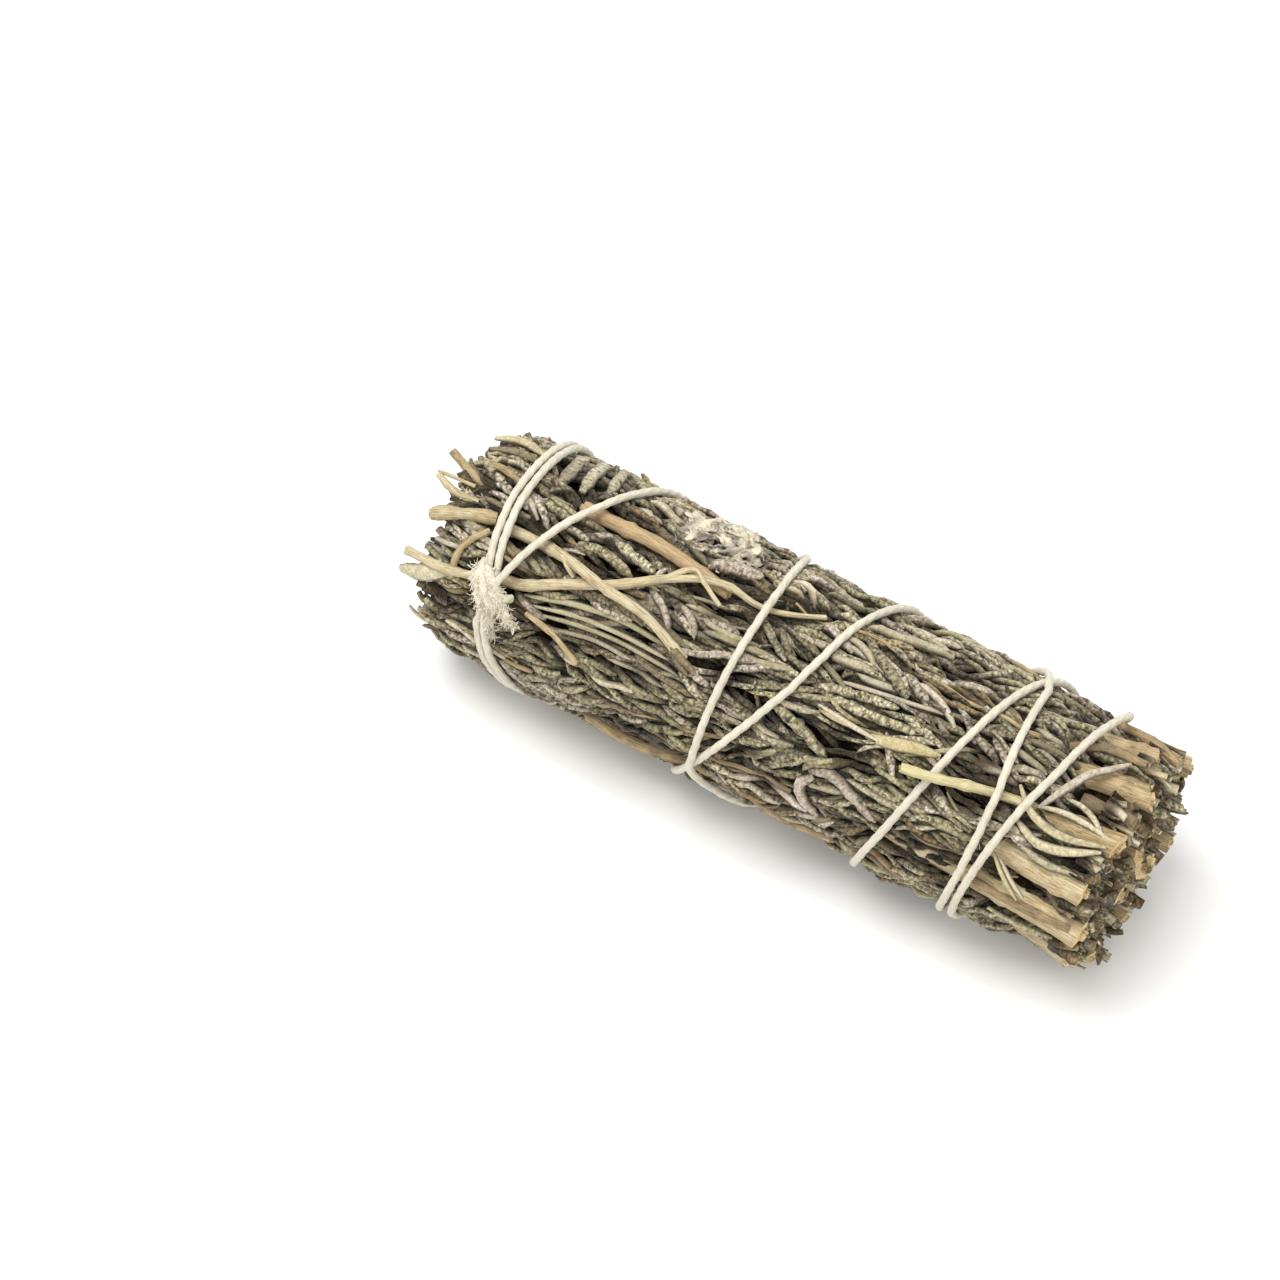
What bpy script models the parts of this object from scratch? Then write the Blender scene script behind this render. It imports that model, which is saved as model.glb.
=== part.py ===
"""Lavender smudge stick: dried leafy sprigs, trimmed at both ends and bound criss-cross with cotton string.

The bundle lies on its side along X, with its thick cut stem ends towards +X. It rests on a strip of leaf
that is pressed flat underneath. Lengths are in metres. A place on the bundle is given by x along the axis,
an angle in degrees round the axis, counted from the upper front side (0) over the top (90), and a distance
from the axis.
"""

import math
import random

import bmesh
import bpy
import numpy as np
from mathutils import Vector

# Driving dimensions of the bundle
LEAF_BODY_LENGTH = 0.0972
CORE_RADIUS = 0.0154
LEAF_RISE = 0.0009
AXIS_HEIGHT = 0.0157
AXIS_SIDE = 0.0007
FRONT_BEARING = 58.0
PRESSED_SHARE = 0.93
PRESS_SHARPNESS = 24

# Sprigs, side by side round a heart of stems
SPRIG_COUNT = 12
CORE_RINGS = 9
HEART_RADIUS = 0.0073
SPRIG_INNER_RADIUS = 0.0080
SEAM_GAP = 0.0004
SEAM_TWIST = 14.0
SEAM_WAVE = 3.0
SEAM_WAVELENGTH = 0.062
FIRST_SEAM = -15.0

# Leaves
LEAVES_PER_SIDE = 6
LEAF_LENGTH = 0.0170
LEAF_HALF_WIDTH = 0.0017
LEAF_THICKNESS = 0.0011
LEAF_SPLAY = 14.0
LEAF_PITCH = 0.0156
FIRST_LEAF = 0.0445
LAST_TIP = -0.0508

# Stems
STEM_TIP_RADIUS = 0.0011
STEM_SIDES_RESOLUTION = 2
HEART_STEM_COUNT = 5
HEART_STEM_RADIUS = 0.0017

# Cotton string
STRING_RADIUS = 0.00075
STRING_SEAT = 0.01645
STRING_SEAT_BELOW = 0.0008
STRING_STEP = 20.0
CROSSING_SLOPE = 0.35
PINCH_DEPTH = 0.0011
PINCH_WIDTH = 0.0035

# Room left between touching pieces
CLEARANCE = 0.00032

# Anything shorter is a scrap of a cut, and is closed up
SMALLEST_EDGES = (0.000003, 0.000008, 0.00002, 0.000001)

MM = 0.001
LEAF_COLOUR = (0.25, 0.22, 0.15)
STEM_COLOUR = (0.46, 0.33, 0.19)
STALK_COLOUR = (0.50, 0.42, 0.22)
STRING_COLOUR = (0.80, 0.76, 0.64)
WOOL_COLOUR = (0.62, 0.57, 0.50)

# The double binding near the left end: (angle, x in mm) once round, at the middle of its two strands
BINDING = [
    (-20, -39.3), (0, -40.7), (17, -41.5), (45, -41.9), (90, -42.4), (135, -41.9),
    (180, -40.0), (225, -37.2), (270, -35.0), (295, -37.6), (318, -39.3), (340, -39.3),
]
BINDING_PITCH = 1.85

# From the knot to the right end and back, then tucked in: (whole turns, angle, x in mm)
WRAPS = [
    (2, 9, -35.7), (2, 26, -33.4), (2, 45, -30.6), (2, 80, -27.4), (2, 140, -22.4), (2, 210, -15.8),
    (3, -72, -7.8), (3, -58, -5.6), (3, -26, -0.2), (3, 6, 4.3), (3, 38, 6.3), (3, 73, 8.7), (3, 140, 11.6),
    (3, 210, 14.6), (4, -76, 18.2), (4, -25, 23.2), (4, 13, 26.5), (4, 44, 28.7), (4, 72, 30.6),
    (4, 100, 32.4), (4, 160, 34.2), (4, 230, 33.8), (5, -90, 32.0), (5, -60, 33.1), (5, -30, 34.9),
    (5, -8, 36.4), (5, 22, 38.9), (5, 52, 40.3), (5, 73, 41.4), (5, 105, 40.0), (5, 150, 34.4),
    (5, 205, 30.6), (6, -90, 30.0), (6, -64, 31.5), (6, -28, 33.2), (6, 2, 33.4), (6, 28, 32.3),
    (6, 64, 31.4), (6, 100, 26.6), (6, 140, 18.4), (6, 200, 7.4), (7, -90, -1.6), (7, -73, -4.4),
    (7, -58, -6.0), (7, -39, -5.5), (7, -2, -4.8), (7, 28, -4.5), (7, 54, -5.0), (7, 90, -6.8),
    (7, 150, -18.5), (7, 200, -28.2), (7, 225, -32.2),
]
TUCKED_END_DEGREES = 14.0
TUCKED_END_DEPTH = 0.0016

# The knot over the binding: two turns round it and the frayed tail, as (x in mm, angle, distance in mm)
KNOT_TURNS = [
    [
        (-42.3, -19, 15.6), (-41.6, -19, 17.4), (-40.3, -19, 18.3), (-38.9, -20, 18.4), (-37.6, -21, 17.9),
        (-36.7, -22, 16.9), (-36.4, -22, 15.6),
    ],
    [
        (-41.7, -11, 15.6), (-41.1, -12, 17.3), (-40.1, -15, 18.6), (-39.0, -20, 19.0), (-37.9, -25, 18.4),
        (-37.1, -28, 17.0), (-36.7, -29, 15.6),
    ],
]
KNOT_TAIL = [(-39.3, -21, 18.4), (-37.7, -24, 18.6), (-36.1, -27, 18.2), (-34.3, -30, 17.9)]

# Stems and stalks that lie on the outside: name, colour, radius in mm, then (x in mm, angle, distance in mm)
LOOSE_STEMS = [
    ("loose_stem_forked", STEM_COLOUR, 0.85, [
        (-42.0, -18, 13.6), (-37.0, -15.5, 14.3), (-31.5, -6, 16.3), (-23.0, 8, 16.4), (-17.5, 20.5, 16.6),
        (-13.5, 27, 16.9), (-9.8, 30.5, 16.2), (-6.9, 31.5, 14.8), (-4.5, 33, 14.5), (-1.0, 38, 14.6),
        (2.0, 44, 14.8),
    ]),
    ("loose_stem_crossing", STEM_COLOUR, 0.8, [
        (-43.0, 9, 13.8), (-35.6, 9.5, 14.2), (-30.6, 7, 16.6), (-25.4, 3.5, 18.2), (-17.6, 0, 17.6),
        (-10.6, -9.5, 16.6),
    ]),
    ("loose_stem_thick", STEM_COLOUR, 1.15, [
        (-34.5, 41, 13.9), (-31.3, 40, 14.0), (-28.0, 38, 14.7), (-22.8, 35.5, 15.6), (-14.7, 31.5, 15.5),
        (-10.5, 30.5, 14.5),
    ]),
    ("loose_stem_low", STEM_COLOUR, 0.9, [
        (-24.0, -84, 15.2), (-16.0, -83, 15.7), (-6.5, -80, 14.5), (-1.5, -79, 14.4), (6.0, -78, 15.6),
        (14.0, -76, 15.3),
    ]),
    ("broken_stalk", STALK_COLOUR, 0.85, [
        (21.3, -8, 18.0), (25.2, -6, 18.4), (29.4, -3, 16.5), (33.5, 0, 14.6), (38.0, 2, 14.6),
    ]),
]
# The thin branch of the forked stem
BRANCH_RADIUS = 0.42
BRANCH = [(-18.2, 19, 16.6), (-16.4, 25.5, 17.0), (-14.8, 27.5, 17.2), (-13.0, 24, 17.4), (-10.0, 19.5, 16.5)]

# The cut right ends of the sprigs' stems: (degrees from the sprig's middle, radius in mm, x in mm, and the
# stem's distance from the axis in mm where it comes up out of the leaves)
STEM_ENDS = [
    (-3, 1.70, 49.4, 11.4), (-5, 1.60, 49.8, 12.3), (-5, 1.55, 47.2, 12.3), (3, 1.45, 50.2, 12.3),
    (-4, 1.75, 49.0, 12.6), (2, 1.55, 50.4, 12.2), (4, 1.80, 48.8, 12.4), (-3, 1.55, 50.0, 12.3),
    (4, 1.70, 49.4, 12.4), (0, 1.65, 48.6, 12.5), (3, 2.15, 49.2, 13.0), (0, 1.95, 47.8, 12.8),
]

# The woolly leaves: (x in mm, angle, distance in mm, turn in degrees, length in mm, half width in mm)
WOOLLY_LEAVES = [
    (-10.4, 62, 15.7, 0, 9.5, 1.5), (-11.0, 58, 15.6, 16, 7.6, 1.4), (-11.2, 66, 15.6, -15, 8.2, 1.4),
    (-12.0, 55, 15.4, 32, 5.6, 1.3), (-12.6, 69, 15.4, -33, 6.0, 1.3), (-15.1, 63, 16.2, 7, 6.6, 1.2),
]
WOOLLY_THICKNESS = 0.0014

random.seed(11)


def clear_scene():
    for old in list(bpy.data.objects):
        bpy.data.objects.remove(old, do_unlink=True)


def new_collection(name, hidden=False):
    collection = bpy.data.collections.new(name)
    bpy.context.scene.collection.children.link(collection)
    collection.hide_render = hidden
    return collection


def material(name, colour, roughness=0.85):
    made = bpy.data.materials.new(name)
    made.use_nodes = True
    shader = made.node_tree.nodes["Principled BSDF"]
    shader.inputs["Base Color"].default_value = (*colour, 1.0)
    shader.inputs["Roughness"].default_value = roughness
    shader.inputs["Metallic"].default_value = 0.0
    return made


def smooth_step(low, high, value):
    share = min(1.0, max(0.0, (value - low) / (high - low)))
    return share * share * (3 - 2 * share)


def place(x, angle, distance):
    """The point at that place on the bundle. Near the underside the section is pressed flat."""
    bearing = math.radians(angle + FRONT_BEARING)
    down = -math.sin(bearing)
    if down > 0:
        distance *= (1 + (down / PRESSED_SHARE) ** PRESS_SHARPNESS) ** (-1 / PRESS_SHARPNESS)
    return Vector((x, AXIS_SIDE - distance * math.cos(bearing), AXIS_HEIGHT + distance * math.sin(bearing)))


def below(angle, spread):
    """1 straight underneath the axis, falling to 0 at about twice the spread from there, in degrees."""
    off = (angle + FRONT_BEARING + 90 + 180) % 360 - 180
    return math.exp(-((off / spread) ** 2))


def follow(knots, values, at):
    """A smooth curve through the values at the knots, read at each of the places in at."""
    knots, values = np.array(knots, float), np.array(values, float)
    slopes = np.gradient(values, knots)
    low = np.clip(np.searchsorted(knots, at, side="right") - 1, 0, len(knots) - 2)
    span = knots[low + 1] - knots[low]
    t = (np.asarray(at, float) - knots[low]) / span
    return (
        (2 * t**3 - 3 * t**2 + 1) * values[low]
        + (t**3 - 2 * t**2 + t) * span * slopes[low]
        + (3 * t**2 - 2 * t**3) * values[low + 1]
        + (t**3 - t**2) * span * slopes[low + 1]
    )


def string_route():
    """(angle, x, distance) along the string, laid in order, so a later strand passes over earlier ones."""
    knots = [(angle, x - BINDING_PITCH / 2) for angle, x in BINDING[:-1]]
    knots += [(angle + 360, x + BINDING_PITCH / 2) for angle, x in BINDING]
    knots += [(angle + 360 * turns, x) for turns, angle, x in WRAPS]
    angles = np.arange(knots[0][0], knots[-1][0] + STRING_STEP / 2, STRING_STEP)
    along = follow([k[0] for k in knots], [k[1] * MM for k in knots], angles)
    apart = 2 * STRING_RADIUS + CLEARANCE
    finest = np.arange(angles[0], angles[-1], 3.0)
    xs = np.interp(finest, angles, along)
    heights = np.array([STRING_SEAT - STRING_SEAT_BELOW * below(a, 35) for a in finest])
    step = math.radians(3.0) * STRING_SEAT
    skip = round(90 / 3.0)
    for k in range(skip, len(finest)):
        turned = (finest[: k - skip] - finest[k] + 180) % 360 - 180
        off = np.hypot(xs[: k - skip] - xs[k], np.radians(turned) * STRING_SEAT)
        near = off < apart
        if near.any():
            over = heights[: k - skip][near] + np.sqrt(apart**2 - off[near] ** 2)
            heights[k] = max(heights[k], over.max())
        heights[k] = max(heights[k], heights[k - 1] - CROSSING_SLOPE * step)
        for back in range(1, 12):
            heights[k - back] = max(heights[k - back], heights[k] - CROSSING_SLOPE * step * back)
    heights -= TUCKED_END_DEPTH * np.clip((finest - finest[-1]) / TUCKED_END_DEGREES + 1, 0, 1)
    return list(zip(angles, along, np.interp(angles, finest, heights), strict=True))


ROUTE = string_route()
ROUTE_X = np.interp(np.arange(ROUTE[0][0], ROUTE[-1][0], 4), [p[0] for p in ROUTE], [p[1] for p in ROUTE])
ROUTE_ANGLE = np.arange(ROUTE[0][0], ROUTE[-1][0], 4)


def pinch(x, angle):
    """1 under the string, falling to 0 a few millimetres away from it."""
    round_way = np.radians((ROUTE_ANGLE - angle + 180) % 360 - 180) * STRING_SEAT
    nearest = np.hypot(ROUTE_X - x, round_way).min()
    return math.exp(-((nearest / PINCH_WIDTH) ** 2))


def core_radius(x, angle):
    """Where the pressed leaf mass of a sprig ends. The string draws it in, and both ends are slimmer."""
    waves = 0.00025 * math.sin(x * 190 + angle * 0.11) + 0.0002 * math.sin(x * 410 - angle * 0.07)
    slim_right = 0.0011 * smooth_step(0.034, 0.043, x)
    slim_left = 0.0009 * smooth_step(0.036, 0.049, -x)
    packed = 0.0020 * below(angle, 17)
    return CORE_RADIUS + waves + packed - slim_right - slim_left - PINCH_DEPTH * pinch(x, angle)


def seam(number, x):
    """The angle of the gap between two neighbouring sprigs. The sprigs lie with a slight twist and wave."""
    wave = SEAM_WAVE * math.sin(2 * math.pi * x / SEAM_WAVELENGTH + number % SPRIG_COUNT * 1.7)
    return FIRST_SEAM + 360 / SPRIG_COUNT * number + SEAM_TWIST * x / LEAF_BODY_LENGTH + wave


def loft(name, rings, tip=None, collection=None):
    """A closed solid through rings of the same number of points, ending in a flat cap or at a tip."""
    mesh = bmesh.new()
    rows = [[mesh.verts.new(point) for point in ring] for ring in rings]
    count = len(rows[0])
    for low, high in zip(rows, rows[1:]):
        for k in range(count):
            mesh.faces.new((low[k], low[(k + 1) % count], high[(k + 1) % count], high[k]))
    mesh.faces.new(reversed(rows[0]))
    if tip is None:
        mesh.faces.new(rows[-1])
    else:
        end = mesh.verts.new(tip)
        for k in range(count):
            mesh.faces.new((rows[-1][k], rows[-1][(k + 1) % count], end))
    bmesh.ops.triangulate(mesh, faces=mesh.faces)
    bmesh.ops.recalc_face_normals(mesh, faces=mesh.faces)
    data = bpy.data.meshes.new(name)
    mesh.to_mesh(data)
    mesh.free()
    made = bpy.data.objects.new(name, data)
    collection.objects.link(made)
    return made


def tube(name, points, radii, resolution, collection):
    """A round stem or string: a curve object with filled caps."""
    data = bpy.data.curves.new(name, "CURVE")
    data.dimensions = "3D"
    data.bevel_depth = 1.0
    data.bevel_resolution = resolution
    data.use_fill_caps = True
    spline = data.splines.new("POLY")
    spline.points.add(len(points) - 1)
    for knot, point, radius in zip(spline.points, points, radii):
        knot.co = (*point, 1.0)
        knot.radius = radius
    made = bpy.data.objects.new(name, data)
    collection.objects.link(made)
    return made


def as_mesh(obj):
    """Replaces a curve object by the mesh that it makes, with its caps welded."""
    bpy.context.view_layer.update()
    data = bpy.data.meshes.new_from_object(obj.evaluated_get(bpy.context.evaluated_depsgraph_get()))
    name, matrix, homes = obj.name, obj.matrix_world.copy(), list(obj.users_collection)
    bpy.data.objects.remove(obj, do_unlink=True)
    mesh = bmesh.new()
    mesh.from_mesh(data)
    bmesh.ops.remove_doubles(mesh, verts=mesh.verts, dist=1e-6)
    bmesh.ops.triangulate(mesh, faces=mesh.faces)
    bmesh.ops.recalc_face_normals(mesh, faces=mesh.faces)
    mesh.to_mesh(data)
    mesh.free()
    made = bpy.data.objects.new(name, data)
    made.matrix_world = matrix
    for home in homes:
        home.objects.link(made)
    return made


def union(obj, collection):
    modifier = obj.modifiers.new("Join", "BOOLEAN")
    modifier.operation = "UNION"
    modifier.operand_type = "COLLECTION"
    modifier.collection = collection
    modifier.solver = "EXACT"


def extent(obj):
    points = np.array([v.co for v in obj.data.vertices])
    return points.min(axis=0), points.max(axis=0)


def cut(obj, collection):
    """Cuts the object by every cutter of the collection that reaches it."""
    low, high = extent(obj)
    for cutter in collection.objects:
        cutter_low, cutter_high = extent(cutter)
        if (cutter_low < high).all() and (cutter_high > low).all():
            modifier = obj.modifiers.new("Cut", "BOOLEAN")
            modifier.operation = "DIFFERENCE"
            modifier.object = cutter
            modifier.solver = "MANIFOLD"


def bake(obj, remove=None):
    """Applies the object's modifiers, then removes the objects of a collection that went into it."""
    bpy.context.view_layer.update()
    data = bpy.data.meshes.new_from_object(obj.evaluated_get(bpy.context.evaluated_depsgraph_get()))
    obj.modifiers.clear()
    obj.data = data
    if remove:
        for used in list(remove.objects):
            bpy.data.objects.remove(used, do_unlink=True)


def largest_body(mesh):
    """Takes away all but the body with the most points."""
    bodies, seen = [], set()
    for start in mesh.verts:
        if start in seen:
            continue
        body, waiting = set(), [start]
        while waiting:
            vert = waiting.pop()
            if vert in body:
                continue
            body.add(vert)
            waiting.extend(edge.other_vert(vert) for edge in vert.link_edges)
        seen |= body
        bodies.append(body)
    largest = max(bodies, key=len)
    bmesh.ops.delete(mesh, geom=[v for v in mesh.verts if v not in largest], context="VERTS")


def one_closed_body(obj):
    """Drops what a cut leaves loose, and closes up edges too short to matter, until the surface is closed."""
    for shortest in SMALLEST_EDGES:
        for method in ("BEAUTY", "EAR_CLIP"):
            mesh = bmesh.new()
            mesh.from_mesh(obj.data)
            largest_body(mesh)
            bmesh.ops.remove_doubles(mesh, verts=mesh.verts, dist=shortest)
            bmesh.ops.dissolve_degenerate(mesh, dist=shortest, edges=mesh.edges)
            bmesh.ops.triangulate(mesh, faces=mesh.faces, ngon_method=method)
            bmesh.ops.delete(mesh, geom=[e for e in mesh.edges if not e.link_faces], context="EDGES")
            largest_body(mesh)
            closed = all(part.is_manifold for part in (*mesh.edges, *mesh.verts))
            if closed:
                mesh.to_mesh(obj.data)
            mesh.free()
            if closed:
                return
    raise ValueError(f"{obj.name} can't be closed")


def finish_node(obj, collection, made_of):
    for home in list(obj.users_collection):
        home.objects.unlink(obj)
    collection.objects.link(obj)
    obj.data.materials.clear()
    obj.data.materials.append(made_of)


def blade_ring(x, angle, distance, heading, half_width, thickness):
    """The section of a leaf: two edges and the ridge between them."""
    side_x = -math.sin(heading) * half_width
    side_angle = math.degrees(math.cos(heading) * half_width / distance)
    return [
        place(x - side_x, angle - side_angle, distance),
        place(x, angle, distance + thickness),
        place(x + side_x, angle + side_angle, distance),
    ]


def leaf(name, start_x, start_angle, heading, length, half_width, rise, limits, collection):
    """One narrow leaf on the outside of a sprig. It grows out of the leaf mass, and its tip lies free."""
    bend = random.uniform(-0.2, 0.2)
    margin = random.uniform(0.0, 1.2)
    rings = []
    for share, width, lift in ((0.0, 0.5, -1.1), (0.33, 1.0, -0.1), (0.72, 0.85, 0.5), (1.0, 0.0, 0.9)):
        turned = heading + bend * share
        x = start_x + math.cos(turned) * length * share
        angle = start_angle + math.degrees(math.sin(turned) * length * share / CORE_RADIUS)
        room = margin + math.degrees(half_width * width / CORE_RADIUS)
        low, high = limits(x)
        angle = min(high - room, max(low + room, angle))
        distance = core_radius(x, angle) + lift * rise
        if width > 0:
            rings.append(blade_ring(x, angle, distance, turned, half_width * width, LEAF_THICKNESS))
    tip = place(x, angle, distance + LEAF_THICKNESS / 2)
    return loft(name, rings, tip, collection)


def end_tuft(name, x, outward, angle, distance, reach, collection):
    """A trimmed leaf end that stands out of the end face."""
    heading = 0.0 if outward > 0 else math.pi
    rings = []
    for share, width in ((0.0, 1.0), (1.0, 0.8)):
        at_x = x + outward * (-0.003 + share * (0.003 + reach * 0.55))
        rings.append(blade_ring(at_x, angle, distance, heading, 0.0012 * width, 0.0011 * width))
    tip = place(x + outward * reach, angle + random.uniform(-4, 4), distance + random.uniform(0.0, 0.0008))
    return loft(name, rings, tip, collection)


def inset(angle, sign, distance):
    """The angle moved half a seam's gap round, at that distance from the axis."""
    return angle + sign * math.degrees(SEAM_GAP / 2 / distance)


def sprig_core(number, left, right, collection):
    """The pressed leaf mass of one sprig: a wedge of the bundle between two seams."""
    rings = []
    for k in range(CORE_RINGS):
        x = left + (right - left) * k / (CORE_RINGS - 1)
        low, high = seam(number, x), seam(number + 1, x)
        ring = [
            place(x, inset(high, -1, SPRIG_INNER_RADIUS), SPRIG_INNER_RADIUS),
            place(x, inset(low, 1, SPRIG_INNER_RADIUS), SPRIG_INNER_RADIUS),
        ]
        for j in range(3):
            angle = low + (high - low) * j / 2
            distance = core_radius(x, angle) - (0 if j == 1 else 0.0005)
            ring.append(place(x, inset(angle, 1 - j, distance), distance))
        rings.append(ring)
    return loft(f"core_{number}", rings, None, collection)


def sprig_stem_points(number):
    """The sprig's own stem. It runs inside the leaves and splays out to the surface at the cut right end."""
    points = []
    shift, _, reach_right, emerging = STEM_ENDS[number]
    reach_left = -0.0492 + random.uniform(-0.0018, 0.0016)
    for x, distance in (
        (reach_right * MM, 0.0141), (0.0430, 0.0134), (0.0350, emerging * MM), (0.0040, 0.0114),
        (-0.0380, 0.0115), (reach_left, 0.0124),
    ):
        middle = (seam(number, x) + seam(number + 1, x)) / 2
        points.append((x, middle + shift * smooth_step(0.0, 0.045, x), distance))
    return points


def build_string(parts, made_of):
    """The string with its knot: one length of cotton, tied over the double binding, with a frayed tail."""
    points = [place(x, angle, distance) for angle, x, distance in ROUTE]
    string = as_mesh(tube("cotton_string", points, [STRING_RADIUS] * len(points), 1, parts))
    knot = new_collection("knot_pieces", hidden=True)
    for number, turn in enumerate(KNOT_TURNS):
        route = [place(x * MM, angle, distance * MM) for x, angle, distance in turn]
        as_mesh(tube(f"knot_turn_{number}", route, [STRING_RADIUS] * len(route), 1, knot))
    route = [place(x * MM, angle, distance * MM) for x, angle, distance in KNOT_TAIL]
    as_mesh(tube("knot_tail", route, [0.0007, 0.0009, 0.0012, 0.0004], 1, knot))
    union(string, knot)
    bake(string, knot)
    one_closed_body(string)
    finish_node(string, parts, made_of)


def string_cutters(collection):
    """A groove for the string, in lengths of about a turn, and the room for its knot as one lump."""
    points = [place(x, angle, distance) for angle, x, distance in ROUTE]
    groove = []
    for k, (angle, x, distance) in enumerate(ROUTE):
        outward = (place(x, angle, distance + MM) - place(x, angle, distance - MM)).normalized()
        along = (points[min(k + 1, len(points) - 1)] - points[max(k - 1, 0)]).normalized()
        across = along.cross(outward).normalized()
        groove.append((points[k], outward, across))
    beyond = points[-1] + (points[-1] - points[-2]).normalized() * CLEARANCE * 2
    groove.append((beyond, *groove[-1][1:]))
    for number in range(math.ceil(len(groove) / 15)):
        rings = []
        room = STRING_RADIUS + CLEARANCE + number % 2 * 0.00004
        for middle, outward, across in groove[number * 15 : number * 15 + 17]:
            rings.append([
                middle - across * room * 0.85 - outward * room,
                middle + across * room * 0.85 - outward * room,
                middle + across * room * 1.1 + outward * 0.003,
                middle - across * room * 1.1 + outward * 0.003,
            ])
        if len(rings) > 1:
            loft(f"string_room_{number}", rings, None, collection)
    rings = []
    for x, half in ((-43.6, 9), (-33.7, 13)):
        rings.append([
            place(x * MM, -21 - half, 14.7 * MM), place(x * MM, -21 + half, 14.7 * MM),
            place(x * MM, -21 + half, 20.5 * MM), place(x * MM, -21 - half, 20.5 * MM),
        ])
    loft("knot_room", rings, None, collection)


def stem_cutter(name, places, radii, resolution, collection):
    points = [place(x, angle, distance) for x, angle, distance in places]
    first, last = points[0], points[-1]
    points[0] = first + (first - points[1]).normalized() * 0.004
    points[-1] = last + (last - points[-2]).normalized() * 0.004
    as_mesh(tube(name, points, [r + CLEARANCE for r in radii], resolution, collection))


def resample(places, steps):
    """A smooth run of places through the few chosen ones."""
    xs = [p[0] for p in places]
    at = np.linspace(xs[0], xs[-1], steps)
    angles = follow(xs, [p[1] for p in places], at)
    distances = follow(xs, [p[2] for p in places], at)
    return [(x * MM, angle, distance * MM) for x, angle, distance in zip(at, angles, distances)]


def build_loose_stems(parts, room):
    for name, colour, radius, places in LOOSE_STEMS:
        run = resample(places, max(9, len(places) + 4))
        radii = [radius * MM * (1 - 0.25 * k / len(run)) for k in range(len(run))]
        points = [place(*p) for p in run]
        stem = tube(name, points, radii, 1, parts)
        stem.data.materials.append(material(name, colour, 0.7))
        as_mesh(tube(f"{name}_room", points, [r + CLEARANCE for r in radii], 1, room))
    points = [place(*p) for p in resample(BRANCH, 7)]
    radii = [BRANCH_RADIUS * MM] * 7
    branch = new_collection("fork_branch", hidden=True)
    as_mesh(tube("fork_branch", points, radii, 1, branch))
    as_mesh(tube("fork_branch_room", points, [r + CLEARANCE for r in radii], 1, room))
    forked = as_mesh(parts.objects["loose_stem_forked"])
    union(forked, branch)
    bake(forked, branch)
    one_closed_body(forked)
    finish_node(forked, parts, material("loose_stem_forked", STEM_COLOUR, 0.7))


def build_woolly_tuft(parts, room):
    """A tuft of short, broad, woolly young leaves near the top, grown together at their foot."""
    blades = new_collection("woolly_blades", hidden=True)
    for number, (x, angle, distance, turn, length, half_width) in enumerate(WOOLLY_LEAVES):
        heading = math.pi + math.radians(turn)
        for collection, extra in ((blades, 0.0), (room, CLEARANCE)):
            rings = []
            for share, width, lift in ((0.0, 0.7, 0.0), (0.45, 1.0, 0.25), (0.85, 0.75, 0.3)):
                at_x = x * MM + math.cos(heading) * length * MM * share
                at_angle = angle + math.degrees(math.sin(heading) * length * share / distance)
                ring = blade_ring(at_x, at_angle, (distance + lift) * MM - extra, heading,
                                  half_width * MM * width + extra * 2, WOOLLY_THICKNESS + extra * 2)
                rings.append(ring)
            reach = length * MM + extra
            tip_angle = angle + math.degrees(math.sin(heading) * reach / (distance * MM))
            tip = place(x * MM + math.cos(heading) * reach, tip_angle, (distance + 0.6) * MM)
            loft(f"woolly_{number}_{collection.name}", rings, tip, collection)
    tuft = blades.objects[0]
    blades.objects.unlink(tuft)
    parts.objects.link(tuft)
    tuft.name = "woolly_leaf_tuft"
    union(tuft, blades)
    bake(tuft, blades)
    one_closed_body(tuft)
    finish_node(tuft, parts, material("woolly_leaf", WOOL_COLOUR, 0.95))


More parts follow.
